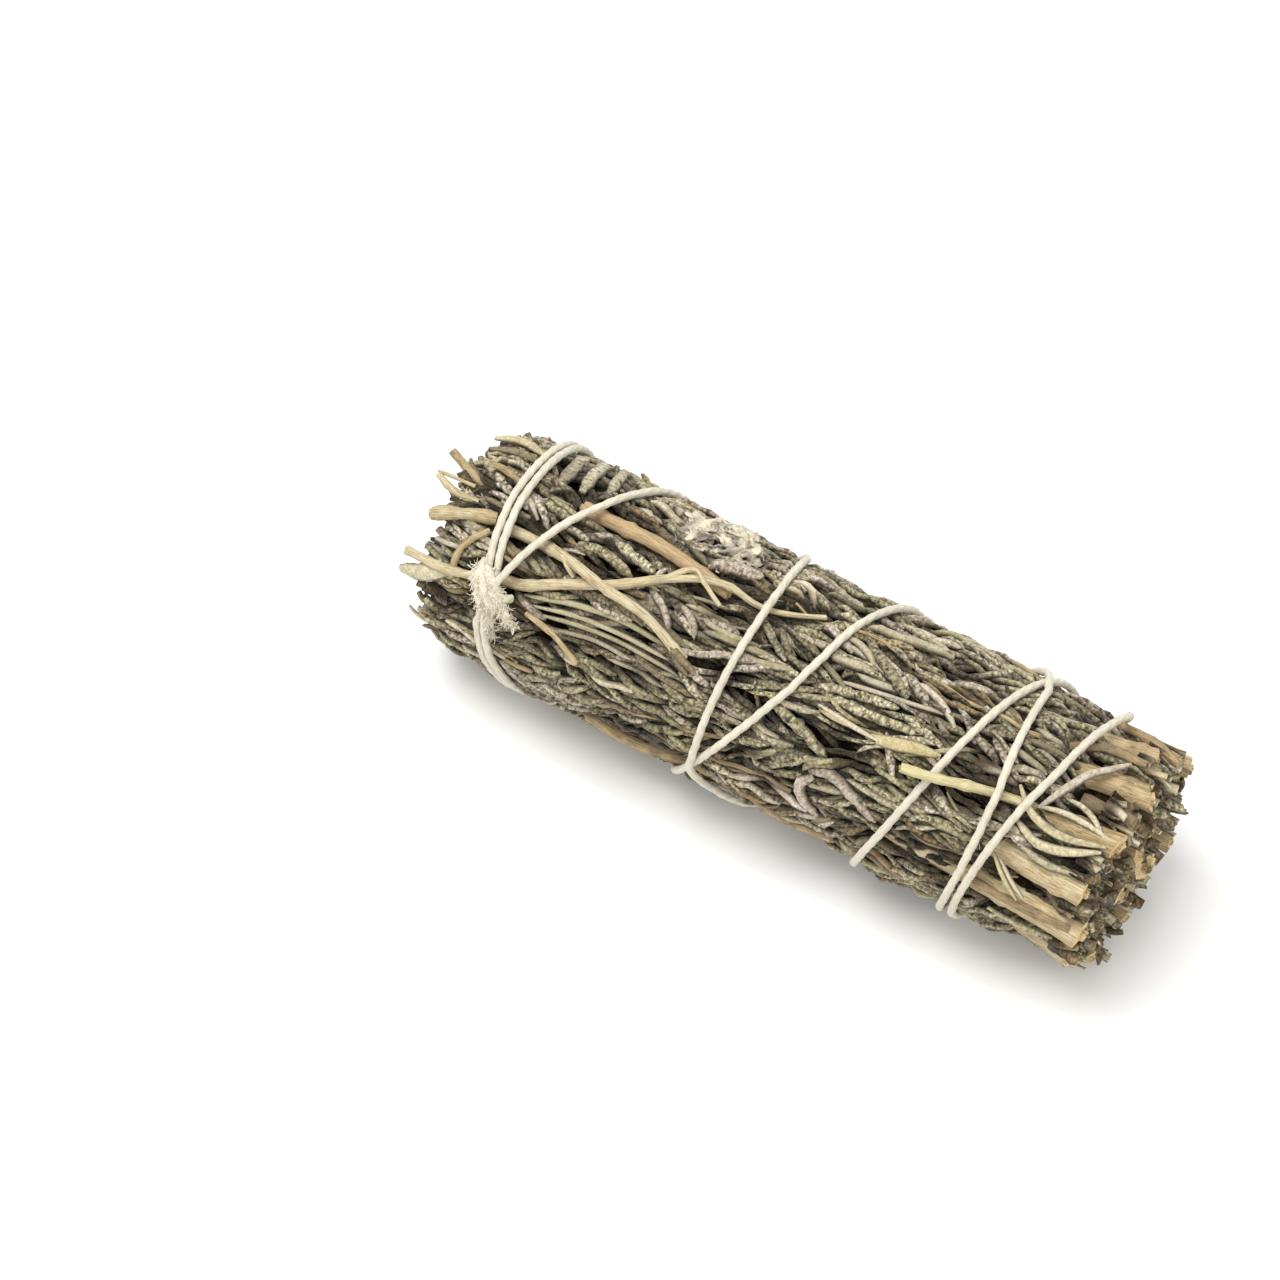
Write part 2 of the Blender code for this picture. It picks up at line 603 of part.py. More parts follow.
def build_sprig(number, parts, room, stem_material):
    """One leafy sprig: its stem, and its leaf mass with the leaves that stand out of it."""
    name = f"sprig_{number + 1:02d}"
    places = sprig_stem_points(number)
    radii = [STEM_ENDS[number][1] * MM]
    radii += [radii[0] + (STEM_TIP_RADIUS - radii[0]) * k / 5 for k in range(1, 6)]
    stem = tube(f"{name}_stem", [place(*p) for p in places], radii, STEM_SIDES_RESOLUTION, parts)
    stem.data.materials.append(stem_material)

    leaves = new_collection(f"{name}_pieces", hidden=True)
    own_room = new_collection(f"{name}_room", hidden=True)
    stem_cutter(f"{name}_stem_room", places, radii, STEM_SIDES_RESOLUTION, own_room)
    left = -LEAF_BODY_LENGTH / 2 + random.uniform(-0.0010, 0.0012)
    right = LEAF_BODY_LENGTH / 2 + random.uniform(-0.0015, 0.0006)
    core = sprig_core(number, left, right, parts)

    def limits(x):
        edge = math.degrees((SEAM_GAP / 2 + 0.00015) / CORE_RADIUS)
        return seam(number, x) + edge, seam(number + 1, x) - edge

    for side in (-1, 1):
        first = FIRST_LEAF - (LEAF_PITCH / 2 if side > 0 else 0) + random.uniform(-0.0015, 0.0015)
        for k in range(LEAVES_PER_SIDE):
            start_x = max(first - LEAF_PITCH * k + random.uniform(-0.001, 0.001), LAST_TIP + 0.0095)
            middle = (seam(number, start_x) + seam(number + 1, start_x)) / 2
            beside_stem = 5.5 * smooth_step(0.024, 0.036, start_x)
            start_angle = middle + side * (random.uniform(0.5, 4.0) + beside_stem)
            heading = math.pi - side * math.radians(LEAF_SPLAY + random.uniform(-7, 7))
            wanted = LEAF_LENGTH * random.uniform(0.88, 1.15)
            length = min(wanted, start_x - LAST_TIP + random.uniform(-0.001, 0.0003))
            half_width = LEAF_HALF_WIDTH * random.uniform(0.8, 1.1)
            rise = LEAF_RISE * random.uniform(0.75, 1.25)
            leaf(f"leaf_{number}_{side}_{k}", start_x, start_angle, heading, length, half_width, rise, limits,
                 leaves)
    for outward, face in ((-1, left), (1, right)):
        angle = (seam(number, face) + seam(number + 1, face)) / 2 + random.uniform(-8, 8)
        distance = (0.0100, 0.0122)[number % 2] + random.uniform(-0.0004, 0.0006)
        reach = random.uniform(0.0010, 0.0024)
        end_tuft(f"tuft_{number}_{outward}", face, outward, angle, distance, reach, leaves)
    core.name = f"{name}_leaves"
    union(core, leaves)
    bake(core, leaves)
    cut(core, own_room)
    cut(core, room)
    bake(core)
    one_closed_body(core)
    finish_node(core, parts, material(f"{name}_leaf", LEAF_COLOUR, 0.95))


def build_heart(parts, stem_material):
    """The middle of the bundle: a plug of pressed leaves round a few straight stems."""
    rooms = new_collection("heart_room", hidden=True)
    turn = 360 / (HEART_STEM_COUNT - 1)
    places = [(0.0, 0.0)] + [(turn * k + 12, 0.0047) for k in range(HEART_STEM_COUNT - 1)]
    for number, (angle, distance) in enumerate(places):
        right = 0.0495 + random.uniform(-0.001, 0.002)
        left = -0.0490 + random.uniform(-0.002, 0.001)
        radius = HEART_STEM_RADIUS * random.uniform(0.85, 1.05)
        ends = [(right, angle, distance), (0.0, angle + 3, distance), (left, angle, distance)]
        stem = tube(f"heart_stem_{number + 1}", [place(*p) for p in ends],
                    [radius, radius * 0.9, radius * 0.8], 1, parts)
        stem.data.materials.append(stem_material)
        stem_cutter(f"heart_stem_room_{number}", ends, [radius, radius * 0.9, radius * 0.8], 1, rooms)
    tufts = new_collection("heart_tufts", hidden=True)
    half = LEAF_BODY_LENGTH / 2 - 0.0012
    rings = [[place(x, 360 / 10 * k, HEART_RADIUS) for k in range(10)] for x in (-half, half)]
    heart = loft("heart_leaves", rings, None, parts)
    for outward in (-1, 1):
        for k in range(4):
            end_tuft(f"heart_tuft_{outward}_{k}", outward * half, outward, 90 * k + 48, 0.0056,
                     random.uniform(0.0015, 0.0035), tufts)
    union(heart, tufts)
    bake(heart, tufts)
    cut(heart, rooms)
    bake(heart)
    one_closed_body(heart)
    finish_node(heart, parts, material("heart_leaf", LEAF_COLOUR, 0.95))


def floor_cutter(collection):
    """Everything under z = 0 is cut away, which leaves the strip that the bundle rests on."""
    data = bpy.data.meshes.new("floor_room")
    mesh = bmesh.new()
    bmesh.ops.create_cube(mesh, size=1.0)
    bmesh.ops.scale(mesh, vec=(0.14, 0.06, 0.01), verts=mesh.verts)
    bmesh.ops.translate(mesh, vec=(0, 0, -0.005), verts=mesh.verts)
    mesh.to_mesh(data)
    mesh.free()
    collection.objects.link(bpy.data.objects.new("floor_room", data))


def main():
    clear_scene()
    parts = new_collection("lavender_smudge_stick")
    room = new_collection("room_for_neighbours", hidden=True)
    stem_material = material("dry_stem", STEM_COLOUR, 0.7)
    string_material = material("cotton", STRING_COLOUR, 0.9)
    string_cutters(room)
    build_loose_stems(parts, room)
    build_woolly_tuft(parts, room)
    floor_cutter(room)
    for number in range(SPRIG_COUNT):
        build_sprig(number, parts, room, stem_material)
    build_heart(parts, stem_material)
    build_string(parts, string_material)
    for helper in bpy.data.collections:
        if helper is not parts:
            for obj in helper.objects:
                obj.hide_render = True
                obj.display_type = "WIRE"


main()
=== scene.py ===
import math

import bmesh
import bpy
import numpy as np
from bpy.props import FloatProperty, FloatVectorProperty, IntProperty
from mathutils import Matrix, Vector


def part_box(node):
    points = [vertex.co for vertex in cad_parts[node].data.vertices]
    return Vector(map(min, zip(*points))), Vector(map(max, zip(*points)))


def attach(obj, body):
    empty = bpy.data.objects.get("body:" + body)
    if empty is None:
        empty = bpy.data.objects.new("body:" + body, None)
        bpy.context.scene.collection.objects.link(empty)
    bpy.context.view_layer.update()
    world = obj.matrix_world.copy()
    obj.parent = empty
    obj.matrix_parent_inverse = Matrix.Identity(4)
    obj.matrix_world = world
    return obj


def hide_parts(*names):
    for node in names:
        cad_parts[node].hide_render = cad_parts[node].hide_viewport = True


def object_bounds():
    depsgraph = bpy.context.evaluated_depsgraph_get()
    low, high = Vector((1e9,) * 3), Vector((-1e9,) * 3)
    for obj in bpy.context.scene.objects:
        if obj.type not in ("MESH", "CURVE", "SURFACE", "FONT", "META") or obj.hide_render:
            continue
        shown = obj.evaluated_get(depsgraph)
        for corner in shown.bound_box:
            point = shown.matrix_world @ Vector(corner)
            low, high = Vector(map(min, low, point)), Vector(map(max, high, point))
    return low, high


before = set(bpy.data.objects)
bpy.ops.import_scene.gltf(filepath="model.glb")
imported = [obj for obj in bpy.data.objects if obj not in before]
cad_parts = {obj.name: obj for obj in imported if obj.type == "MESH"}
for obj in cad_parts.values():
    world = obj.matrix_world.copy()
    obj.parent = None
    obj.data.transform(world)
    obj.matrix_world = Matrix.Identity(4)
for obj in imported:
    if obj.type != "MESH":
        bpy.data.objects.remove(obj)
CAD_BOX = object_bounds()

bl_info = {
    "name": "Lavender smudge stick",
    "version": (1, 0, 0),
    "blender": (4, 5, 0),
    "location": "3D View > Sidebar > Smudge stick",
    "description": "Dresses a bundle of dried lavender and its cotton string with their finishes",
    "category": "Add Mesh",
}

MM = 0.001

# The bundle's round form, as in the solids. A place on it is x along the axis, an angle in degrees round it,
# counted from the upper front over the top, and a distance from the axis
AXIS_HEIGHT = 0.0157
AXIS_SIDE = 0.0007
FRONT_BEARING = 58.0
PRESSED_SHARE = 0.93
PRESS_SHARPNESS = 24
SPRIG_COUNT = 12
FIRST_SEAM = -15.0
SEAM_TWIST = 14.0
SEAM_WAVE = 3.0
SEAM_WAVELENGTH = 0.062
BODY_LENGTH = 0.0972
SPRIG_INNER_RADIUS = 8.2

# The string's way round, as in the solids, but pulled tight: thinner, and touching itself where strands meet.
# Its places are an angle and x in mm, after the number of full turns in WRAPS. Those of the strands over the
# knot are x, an angle and the distance from the axis in mm
STRING_RADIUS = 0.00053
STRING_SEAT = 0.01645
STRING_SEAT_BELOW = 0.0008
STRING_STEP = 20.0
FINE_STEP = 3.0
RING_STEP = 1.7
KNOT_SWELLING = 1.1
KNOT_RINGS = 26
CROSSING_SLOPE = 0.35
CLEARANCE = 0.00006
BINDING = [
    (-20, -39.3), (0, -40.7), (17, -41.5), (45, -41.9), (90, -42.4), (135, -41.9),
    (180, -40.0), (225, -37.2), (270, -35.0), (295, -37.6), (318, -39.3), (340, -39.3),
]
BINDING_PITCH = 1.26
WRAPS = [
    (2, 9, -35.7), (2, 26, -33.4), (2, 45, -30.6), (2, 80, -27.4), (2, 140, -22.4), (2, 210, -15.8),
    (3, -72, -7.8), (3, -58, -5.6), (3, -26, -0.2), (3, 6, 4.3), (3, 38, 6.3), (3, 73, 8.7), (3, 140, 11.6),
    (3, 210, 14.6), (4, -76, 18.2), (4, -25, 23.2), (4, 13, 26.5), (4, 44, 28.7), (4, 72, 30.6),
    (4, 100, 32.4), (4, 160, 34.2), (4, 230, 33.8), (5, -90, 32.0), (5, -60, 33.1), (5, -30, 34.9),
    (5, -8, 36.4), (5, 22, 38.9), (5, 52, 40.3), (5, 73, 41.4), (5, 105, 40.0), (5, 150, 34.4),
    (5, 205, 30.6), (6, -90, 30.0), (6, -64, 31.5), (6, -28, 33.2), (6, 2, 33.4), (6, 28, 32.3),
    (6, 64, 31.4), (6, 100, 26.6), (6, 140, 18.4), (6, 200, 7.4), (7, -90, -1.6), (7, -73, -4.4),
    (7, -58, -6.0), (7, -39, -5.5), (7, -2, -4.8), (7, 28, -4.5), (7, 54, -5.0), (7, 90, -6.8),
    (7, 150, -18.5), (7, 200, -28.2), (7, 225, -32.2),
]
TUCKED_END_DEGREES = 14.0
TUCKED_END_DEPTH = 0.0016
KNOT_TURNS = [
    [
        (-42.3, -19, 15.6), (-41.6, -19, 17.4), (-40.3, -19, 18.3), (-38.9, -20, 18.4), (-37.6, -21, 17.9),
        (-36.7, -22, 16.9), (-36.4, -22, 15.6),
    ],
    [
        (-41.7, -11, 15.6), (-41.1, -12, 17.3), (-40.1, -15, 18.6), (-39.0, -20, 19.0), (-37.9, -25, 18.4),
        (-37.1, -28, 17.0), (-36.7, -29, 15.6),
    ],
]

# The knot's teased cotton: the locks' radii in mm from end to end, and their places
KNOT_LOCKS = [
    ([0.6, 1.5, 1.7, 1.5, 0.6], [
        (-41.6, -12, 16.6), (-40.6, -15, 17.3), (-39.2, -20, 17.4), (-37.8, -26, 16.9),
    ]),
    ([1.0, 1.5, 0.9, 0.6, 0.15], [
        (-40.6, -20, 16.8), (-39.4, -24, 17.2), (-38.2, -32, 16.9), (-37.4, -41, 16.6),
    ]),
    ([1.0, 1.5, 1.0, 0.6, 0.15], [
        (-40.0, -18, 17.0), (-38.2, -22, 17.3), (-36.6, -27, 16.9), (-34.8, -32, 16.6),
    ]),
]

# Loose stems on the outside, as in the solids: radius in mm, then (x in mm, angle, distance in mm)
LOOSE_STEMS = {
    "loose_stem_forked": (0.85, [
        (-42.0, -18, 13.6), (-37.0, -15.5, 14.3), (-31.5, -6, 16.3), (-23.0, 8, 16.4), (-17.5, 20.5, 16.6),
        (-13.5, 27, 16.9), (-9.8, 30.5, 16.2), (-6.9, 31.5, 14.8), (-4.5, 33, 14.5), (-1.0, 38, 14.6),
        (2.0, 44, 14.8),
    ]),
    "loose_stem_crossing": (0.8, [
        (-43.0, 9, 13.8), (-35.6, 9.5, 14.2), (-30.6, 7, 16.6), (-25.4, 3.5, 18.2), (-17.6, 0, 17.6),
        (-10.6, -9.5, 16.6),
    ]),
    "loose_stem_thick": (1.15, [
        (-34.5, 41, 13.9), (-31.3, 40, 14.0), (-28.0, 38, 14.7), (-22.8, 35.5, 15.6), (-14.7, 31.5, 15.5),
        (-10.5, 30.5, 14.5),
    ]),
    "loose_stem_low": (0.9, [
        (-24.0, -84, 15.2), (-16.0, -83, 15.7), (-6.5, -80, 14.5), (-1.5, -79, 14.4), (6.0, -78, 15.6),
        (14.0, -76, 15.3),
    ]),
    "broken_stalk": (0.85, [
        (21.3, -8, 18.0), (25.2, -6, 18.4), (29.4, -3, 16.5), (33.5, 0, 14.6), (38.0, 2, 14.6),
    ]),
}
# Shares of a loose stem's radius that it has at its left and right end, where they aren't 1 and 0.75
LOOSE_STEM_TAPER = {"loose_stem_forked": (1.0, 0.4), "broken_stalk": (0.78, 0.75)}
# The forked stem's side branch, and its radii in mm at both ends
BRANCH = [(-18.2, 19, 16.6), (-16.4, 25.5, 17.3), (-14.8, 27.5, 17.8), (-13.0, 24, 17.7), (-10.0, 19.5, 16.5)]
BRANCH_RADII = (0.42, 0.26)

# The sprigs' stems: degrees from the sprig's middle, radius in mm and x in mm at the cut end, and the
# distance from the axis in mm where the stem comes up out of the leaves
STEM_ENDS = [
    (-3, 1.70, 49.4, 11.4), (-5, 1.60, 49.8, 12.3), (-5, 1.55, 47.2, 12.3), (3, 1.45, 50.2, 12.3),
    (-4, 1.75, 49.0, 12.6), (2, 1.55, 50.4, 12.2), (4, 1.80, 48.8, 12.4), (-3, 1.55, 50.0, 12.3),
    (4, 1.70, 49.4, 12.4), (0, 1.65, 48.6, 12.5), (3, 2.15, 49.2, 13.0), (0, 1.95, 47.8, 12.8),
]
STEM_LEFT = -49.2
STEM_TIP_RADIUS = 1.1
HEART_STEM_COUNT = 5
HEART_STEM_RADIUS = 1.6
# From where on a sprig's stem lies bare, x in mm: by the sprig's number, and for the others
STEM_BARE_FROM = {0: 44.0, 1: 42.5, 10: 33.5, 11: 37.0}
STEM_BARE = 41.5

# The width of the fibres in the bark
STEM_FIBRE = 0.00018
TWIG_FIBRE = 0.00012

# A stem's cut: how far its slant and its splinters reach, then the steps inwards and down to the pith, as
# shares of its radius
SLANT_REACH = 0.0009
SPLINTER = 0.00012
CUT_STEPS = [(0.22, -0.06), (0.42, 0.02), (0.05, -0.35)]
# Which of a stem's materials those are, after its bark
WOOD, PITH = 1, 2
# For each kind of stem its rings, the points round each ring, and the greatest slant of its cuts
SPRIG_STEM, HEART_STEM, LOOSE_STEM = (120, 16, 0.7), (60, 14, 0.6), (100, 14, 0.9)

# The woolly tuft: x and angle of its middle, half length and half width in mm, how far out its petals lie,
# and how far out the leaves under it may reach
WOOLLY_PLACE = (-15.0, 62.0, 6.9, 4.2)
TUFT_SEAT = 15.3
TUFT_FLOOR = 15.9

# Places of the leaf colours on their scale
BROWN, SHADED, OLIVE, GREY, MAUVE, STRAW, SULPHUR = 0.0, 0.14, 0.32, 0.53, 0.74, 0.9, 1.0

# Leaves that catch the eye: half width and thickness in mm, crimp, colour, then (x in mm, angle)
TOP_LEAVES = [
    (0.50, 0.60, 0.1, 0.36, [(-35.2, -19), (-29.2, -11.5), (-20.7, -7), (-13.5, -9)]),
    (0.42, 0.50, 0.1, 0.40, [(-33.5, -22), (-27.3, -15.5), (-19.8, -13.5), (-13.0, -14)]),
    (0.40, 0.50, 0.1, 0.34, [(-32.5, -25), (-26.0, -19), (-18.5, -17.5), (-11.0, -19)]),
    (0.38, 0.50, 0.2, 0.50, [(-30.5, -29), (-24.5, -23), (-17.5, -21.5)]),
    (0.95, 0.80, 0.6, 0.72, [(9.6, -34), (11.5, -29.5), (15.5, -33), (20.2, -41)]),
    (0.90, 0.80, 0.6, 0.70, [(10.4, -35), (9.0, -41), (9.6, -49), (12.3, -56)]),
    (0.42, 0.50, 0.1, 0.62, [(7.4, 14), (13.8, 18), (24.0, 24)]),
    (0.95, 0.95, 1.0, 0.36, [(1.6, -9), (5.9, -14), (11.2, -22)]),
    (0.80, 0.90, 1.0, 0.42, [(6.4, 8), (11.5, 12), (17.0, 15)]),
    (0.85, 0.90, 1.0, 0.36, [(7.6, 5.5), (15.6, 6), (21.5, 9)]),
    (0.20, 0.30, 0.0, 0.92, [(-3.6, 17), (0.4, 22), (4.0, 27)]),
    (0.95, 0.80, 0.6, 0.84, [(10.5, 69), (14.1, 63.5), (18.8, 65)]),
    (1.15, 0.75, 0.7, 0.50, [(-39.0, 45), (-39.4, 62), (-40.4, 84)]),
    (1.10, 0.75, 0.7, 0.56, [(-36.0, 49), (-36.4, 67), (-37.4, 86)]),
    (1.00, 0.75, 0.7, 0.46, [(-32.6, 54), (-33.6, 70), (-34.8, 88)]),
    (0.85, 1.00, 1.0, 0.36, [(-31.6, 18), (-27.9, 19), (-22.6, 14.5)]),
    (0.85, 1.00, 1.0, 0.42, [(-27.2, 28), (-24.1, 24), (-19.9, 20.5)]),
    (0.85, 0.90, 1.0, 0.40, [(-40.1, 37), (-38.3, 42), (-34.3, 46)]),
    (0.70, 0.90, 1.0, 0.36, [(-38.9, 29), (-35.6, 26.5), (-33.6, 26)]),
    (0.55, 0.80, 0.5, 0.62, [(-28.2, 56), (-26.0, 52), (-23.6, 48.5)]),
    (0.85, 0.80, 0.4, 0.86, [(-27.6, 64.5), (-24.4, 62), (-21.1, 57.5)]),
    (1.30, 0.90, 0.8, 0.68, [(-14.8, 40), (-11.9, 43), (-7.6, 44.5)]),
    (1.00, 0.80, 0.8, 0.64, [(-12.9, 37), (-9.4, 37), (-7.2, 40)]),
    (0.30, 0.40, 0.1, 0.45, [(-15.8, 18), (-12.6, 20.5), (-8.0, 23)]),
    (0.28, 0.40, 0.1, 0.36, [(-12.3, 10.5), (-9.4, 13), (-5.3, 17)]),
    (0.50, 0.60, 0.3, 0.60, [(-32.3, 9.5), (-30.6, 4.5), (-29.4, 1.5)]),
    (0.58, 0.70, 0.6, 0.66, [(-19.7, 13.5), (-16.5, 7), (-14.5, -1)]),
    (0.62, 0.70, 0.6, 0.62, [(-14.6, 12.5), (-12.1, 7), (-11.1, 0.5)]),
    (0.26, 0.40, 0.1, 1.00, [(27.2, -11), (29.8, -17), (32.3, -22)]),
    (0.60, 0.70, 0.3, 0.60, [(32.6, 50.5), (36.3, 52), (40.3, 62)]),
    (0.55, 0.70, 0.3, 0.58, [(33.4, 38.5), (35.6, 35.5), (37.4, 37)]),
    (0.55, 0.50, 0.2, 0.45, [(-52.0, -65), (-47.5, -66.5), (-43.0, -67)]),
]

# How far from the axis those leaves lie at the least, in mm
TOP_LEAF_SEAT = 14.7

# Leaves that lie over everything: the same, with each place's distance from the axis in mm
LEAVES_OVER_ALL = [
    (0.95, 0.40, 0.2, 1.00, [(15.0, -3.6, 15.3), (18.0, -1.5, 16.0), (21.5, 1.5, 16.1), (24.6, 3.4, 15.3)]),
    (0.40, 0.50, 0.1, 0.86, [(7.6, -0.5, 15.2), (11.9, -2, 16.0), (16.8, -3.2, 15.8)]),
    (1.25, 0.35, 0.3, 0.90, [(-53.2, -36, 15.1), (-49.9, -31, 15.9), (-46.4, -26, 15.4)]),
    (0.95, 0.40, 0.3, 0.95, [(-50.6, 53, 15.3), (-47.4, 56.5, 16.1), (-43.2, 58, 15.3)]),
    (0.70, 0.40, 0.4, 0.10, [(-50.0, 44, 15.2), (-46.6, 47, 16.0), (-42.6, 50, 15.3)]),
    (0.55, 0.35, 0.5, 0.05, [(-14.2, -5.0, 16.9), (-11.4, -8.6, 17.4), (-8.6, -12.5, 16.8)]),
    (0.45, 0.35, 0.6, 0.10, [(-13.2, -8.0, 16.6), (-10.8, -12.4, 16.9), (-9.6, -15.5, 16.2)]),
    (0.62, 0.60, 0.3, 0.66, [
        (38.6, 3, 15.0), (41.1, 19, 16.1), (42.5, 27, 16.3), (44.2, 33, 16.2), (45.8, 41, 15.9),
    ]),
    (0.60, 0.50, 0.3, 0.96, [
        (35.3, 8, 15.2), (37.7, 0, 15.9), (40.8, -4, 16.2), (43.5, -4, 16.1), (48.3, 0, 15.4),
    ]),
    (0.45, 0.50, 0.3, 0.90, [(38.1, 3, 14.8), (41.7, 5.5, 15.6), (44.5, 5.5, 15.6), (48.2, 4, 15.2)]),
    (0.70, 0.50, 0.3, 0.93, [(36.6, -7, 15.0), (40.4, -12, 15.9), (43.8, -10, 15.9), (48.0, -3, 15.3)]),
    (0.42, 0.45, 0.4, 0.90, [(41.0, 13, 14.4), (43.4, 12, 15.2), (45.4, 9, 15.5), (47.6, 3, 15.3)]),
    (0.34, 0.45, 0.1, 0.97, [(35.7, -26, 15.2), (37.9, -33, 16.0), (40.7, -42, 16.0)]),
    (0.30, 0.40, 0.1, 0.92, [(36.9, -28, 15.2), (39.2, -34, 15.9), (41.4, -40, 15.8)]),
    (0.50, 0.50, 0.5, 0.40, [(38.0, -17, 14.8), (42.0, -19, 15.6), (46.5, -18, 15.0)]),
    (0.50, 0.50, 0.6, 0.36, [(37.0, -62, 15.0), (41.0, -60, 15.6), (46.0, -60, 15.0)]),
]

# Cut twigs and bits of stalk that lie on top: radius in mm, tone, then (x in mm, angle, distance in mm)
STUBS = [
    (0.62, 0.45, [(-47.5, 25, 13.4), (-50.8, 27.5, 15.2), (-53.3, 30, 16.3)]),
    (0.50, 1.00, [(-46.8, 14, 14.4), (-50.5, 13, 15.8), (-52.9, 16, 16.5)]),
    (0.26, 0.80, [(-48.0, 20, 15.3), (-53.2, 17.5, 16.4)]),
    (0.95, 0.72, [(-51.6, -2, 14.9), (-49.2, 2, 15.3), (-46.0, 7, 15.3), (-43.2, 10.5, 14.6)]),
    (0.72, 1.00, [(-52.8, -24, 15.5), (-50.5, -24, 15.6), (-47.4, -24, 15.7), (-43.0, -21.5, 14.9)]),
    (0.50, 0.70, [(-45.8, -21, 15.2), (-45.5, -13, 16.0), (-44.6, -5, 16.2), (-43.0, 3, 15.2)]),
    (0.45, 0.50, [(-48.6, 57, 15.1), (-46.1, 61, 15.6), (-42.3, 57, 15.1)]),
    (0.50, 0.45, [(-49.2, 36, 15.2), (-45.1, 34, 15.9), (-42.0, 32, 15.3)]),
    (0.28, 0.90, [(-32.6, 9, 15.9), (-31.2, 5.5, 16.7), (-29.2, 1, 16.4)]),
    (0.42, 0.60, [(-33.7, -25.5, 15.5), (-28.5, -28, 16.4), (-24.6, -36, 16.3)]),
    (0.65, 0.30, [(34.5, -48, 15.0), (41.0, -48, 15.2), (48.0, -46.5, 15.2)]),
    (0.60, 0.15, [(37.9, 38, 14.9), (41.5, 46, 15.2), (47.2, 50, 15.0)]),
    (1.10, 0.05, [(42.5, 18, 12.8), (49.6, 18, 13.4)]),
    (0.70, 0.35, [(40.5, 86, 14.9), (45.0, 77, 15.0), (50.2, 68, 14.6)]),
]

# Dark hollows beside the cut stems and at the left end: x in mm, angle, half length and half width in mm
HOLLOWS = [
    (45.6, 23, 2.2, 0.5), (45.0, 9, 1.8, 0.4), (44.4, -13, 3.2, 0.4), (41.2, -39, 2.2, 0.5),
    (43.6, -63, 2.6, 0.4), (-48.2, -41, 1.0, 0.7),
]
HOLLOW_FLOOR = 13.0

# The map of the leaf pile: the bundle's outside unrolled, in mm
MAP_STEP = 0.25
MAP_LEFT = -53.0
MAP_LENGTH = 106.0
MAP_RADIUS = 15.5
GIRTH = 2 * math.pi * MAP_RADIUS
MAP_SHAPE = (round(MAP_LENGTH / MAP_STEP), round(GIRTH / MAP_STEP))
FLOOR_OF_CREVICES = 13.2
CEILING = 16.6
NO_LIMIT = 99.0
# Where the pile begins to fall towards each end, where it has fallen, and how far, in mm
END_SLOPES = [(36.0, 43.5, 1.3), (-38.0, -49.0, 0.9)]

# The lines over the bundle: their step in mm, and where they are trimmed
WALK = 0.5
LEFT_CUT = -50.2
RIGHT_CUT = 49.6
# Where the feet of the leafy twigs are, in mm along the axis, with steps along and round the bundle, as
# shares, that leave no gaps and no rows
FEET_FROM = MAP_LEFT + 8
FEET_LENGTH = MAP_LENGTH + 6
EVEN_STEPS = (0.7548776662, 0.5698402910)

# The rules by which leaves are laid: how far one must stand out at the least, in mm, how crowded its place
# may be with leaves that show, how much it adds to that, its rings for each mm, and how light it stays under
# the painted shade that dims it when it lies deep down
DEEP_LEAVES = {"least": 0.25, "crowd": 9.0, "weight": 0.0, "fineness": 0.6, "dimmest": 0.17}
CHOSEN_LEAVES = {"least": 0.3, "crowd": 9.0, "weight": 4.0, "fineness": 1.4, "dimmest": 0.7}
OUTER_LEAVES = {"least": 0.3, "crowd": 0.42, "weight": 1.0, "fineness": 1.25, "dimmest": 0.17}
GAP_LEAVES = {**OUTER_LEAVES, "crowd": 0.5}
BARE_TWIGS = {"least": 0.1, "crowd": 0.5, "weight": 1.0}
# How far under the bundle's round form the deep twigs stay, in mm
DEEP_ROOM = 1.35

# How often each leaf colour is picked in the pile, and in the chips of the left (-1) and right (1) end face
PILE_TONES = {0.07: 0.06, SHADED: 0.14, OLIVE: 0.30, GREY: 0.28, MAUVE: 0.15, STRAW: 0.07}
CHIP_TONES = {
    -1: {BROWN: 0.14, SHADED: 0.2, OLIVE: 0.3, GREY: 0.26, STRAW: 0.1},
    1: {BROWN: 0.52, SHADED: 0.08, OLIVE: 0.08, STRAW: 0.26, SULPHUR: 0.06},
}

# How much of a strip's tone is added to its run, so that no two strips have the same grain
RUN_SHIFT = 0.37

# The trimmed leaf ends: how many stand out to the left (-1) and to the right (1), from the sprigs and from
# the middle of the bundle, and in mm how far along the axis and how far from it
SPRIG_CHIPS = {-1: 330, 1: 520}
HEART_CHIPS = {-1: 90, 1: 150}
CHIP_ROOT = 45.6
CHIP_MIDDLE = 48.0
CHIP_TIP = 47.9
HEART_RADIUS = 8.0
CHIP_RADIUS = 15.2

# The lowest that anything lies above the floor
FLOOR_GAP = 0.00002

LEAF_SEED, CHIP_SEED, STEM_SEED, TUFT_SEED, STRING_SEED, PACKED_SEED = 5, 21, 8, 3, 14, 100

# The stage: where the bundle's middle is in the photograph, and the lamps with their places, sizes and powers
PHOTO_SIZE = 1280
BUNDLE_IN_PHOTO = (794, 693)
SENSOR_WIDTH = 36.0
FLOOR_HALF_WIDTH = 3.0
LAMPS = [("soft_box", (-0.16, -0.06, 0.66), 0.42, 3.5), ("fill_card", (0.45, -0.35, 0.45), 0.6, 0.9)]
WORLD_LIGHT = 0.78


def linear(code):
    """A colour given as sRGB hex, as the linear red, green and blue that the shaders need."""
    parts = [int(code[k : k + 2], 16) / 255 for k in (1, 3, 5)]
    return tuple(p / 12.92 if p <= 0.04045 else ((p + 0.055) / 1.055) ** 2.4 for p in parts)


def colour_setting(name, description, code):
    """A colour that a user can change, with its default given as sRGB hex."""
    start = linear(code)
    return FloatVectorProperty(name=name, description=description, default=start, size=3, subtype="COLOR")


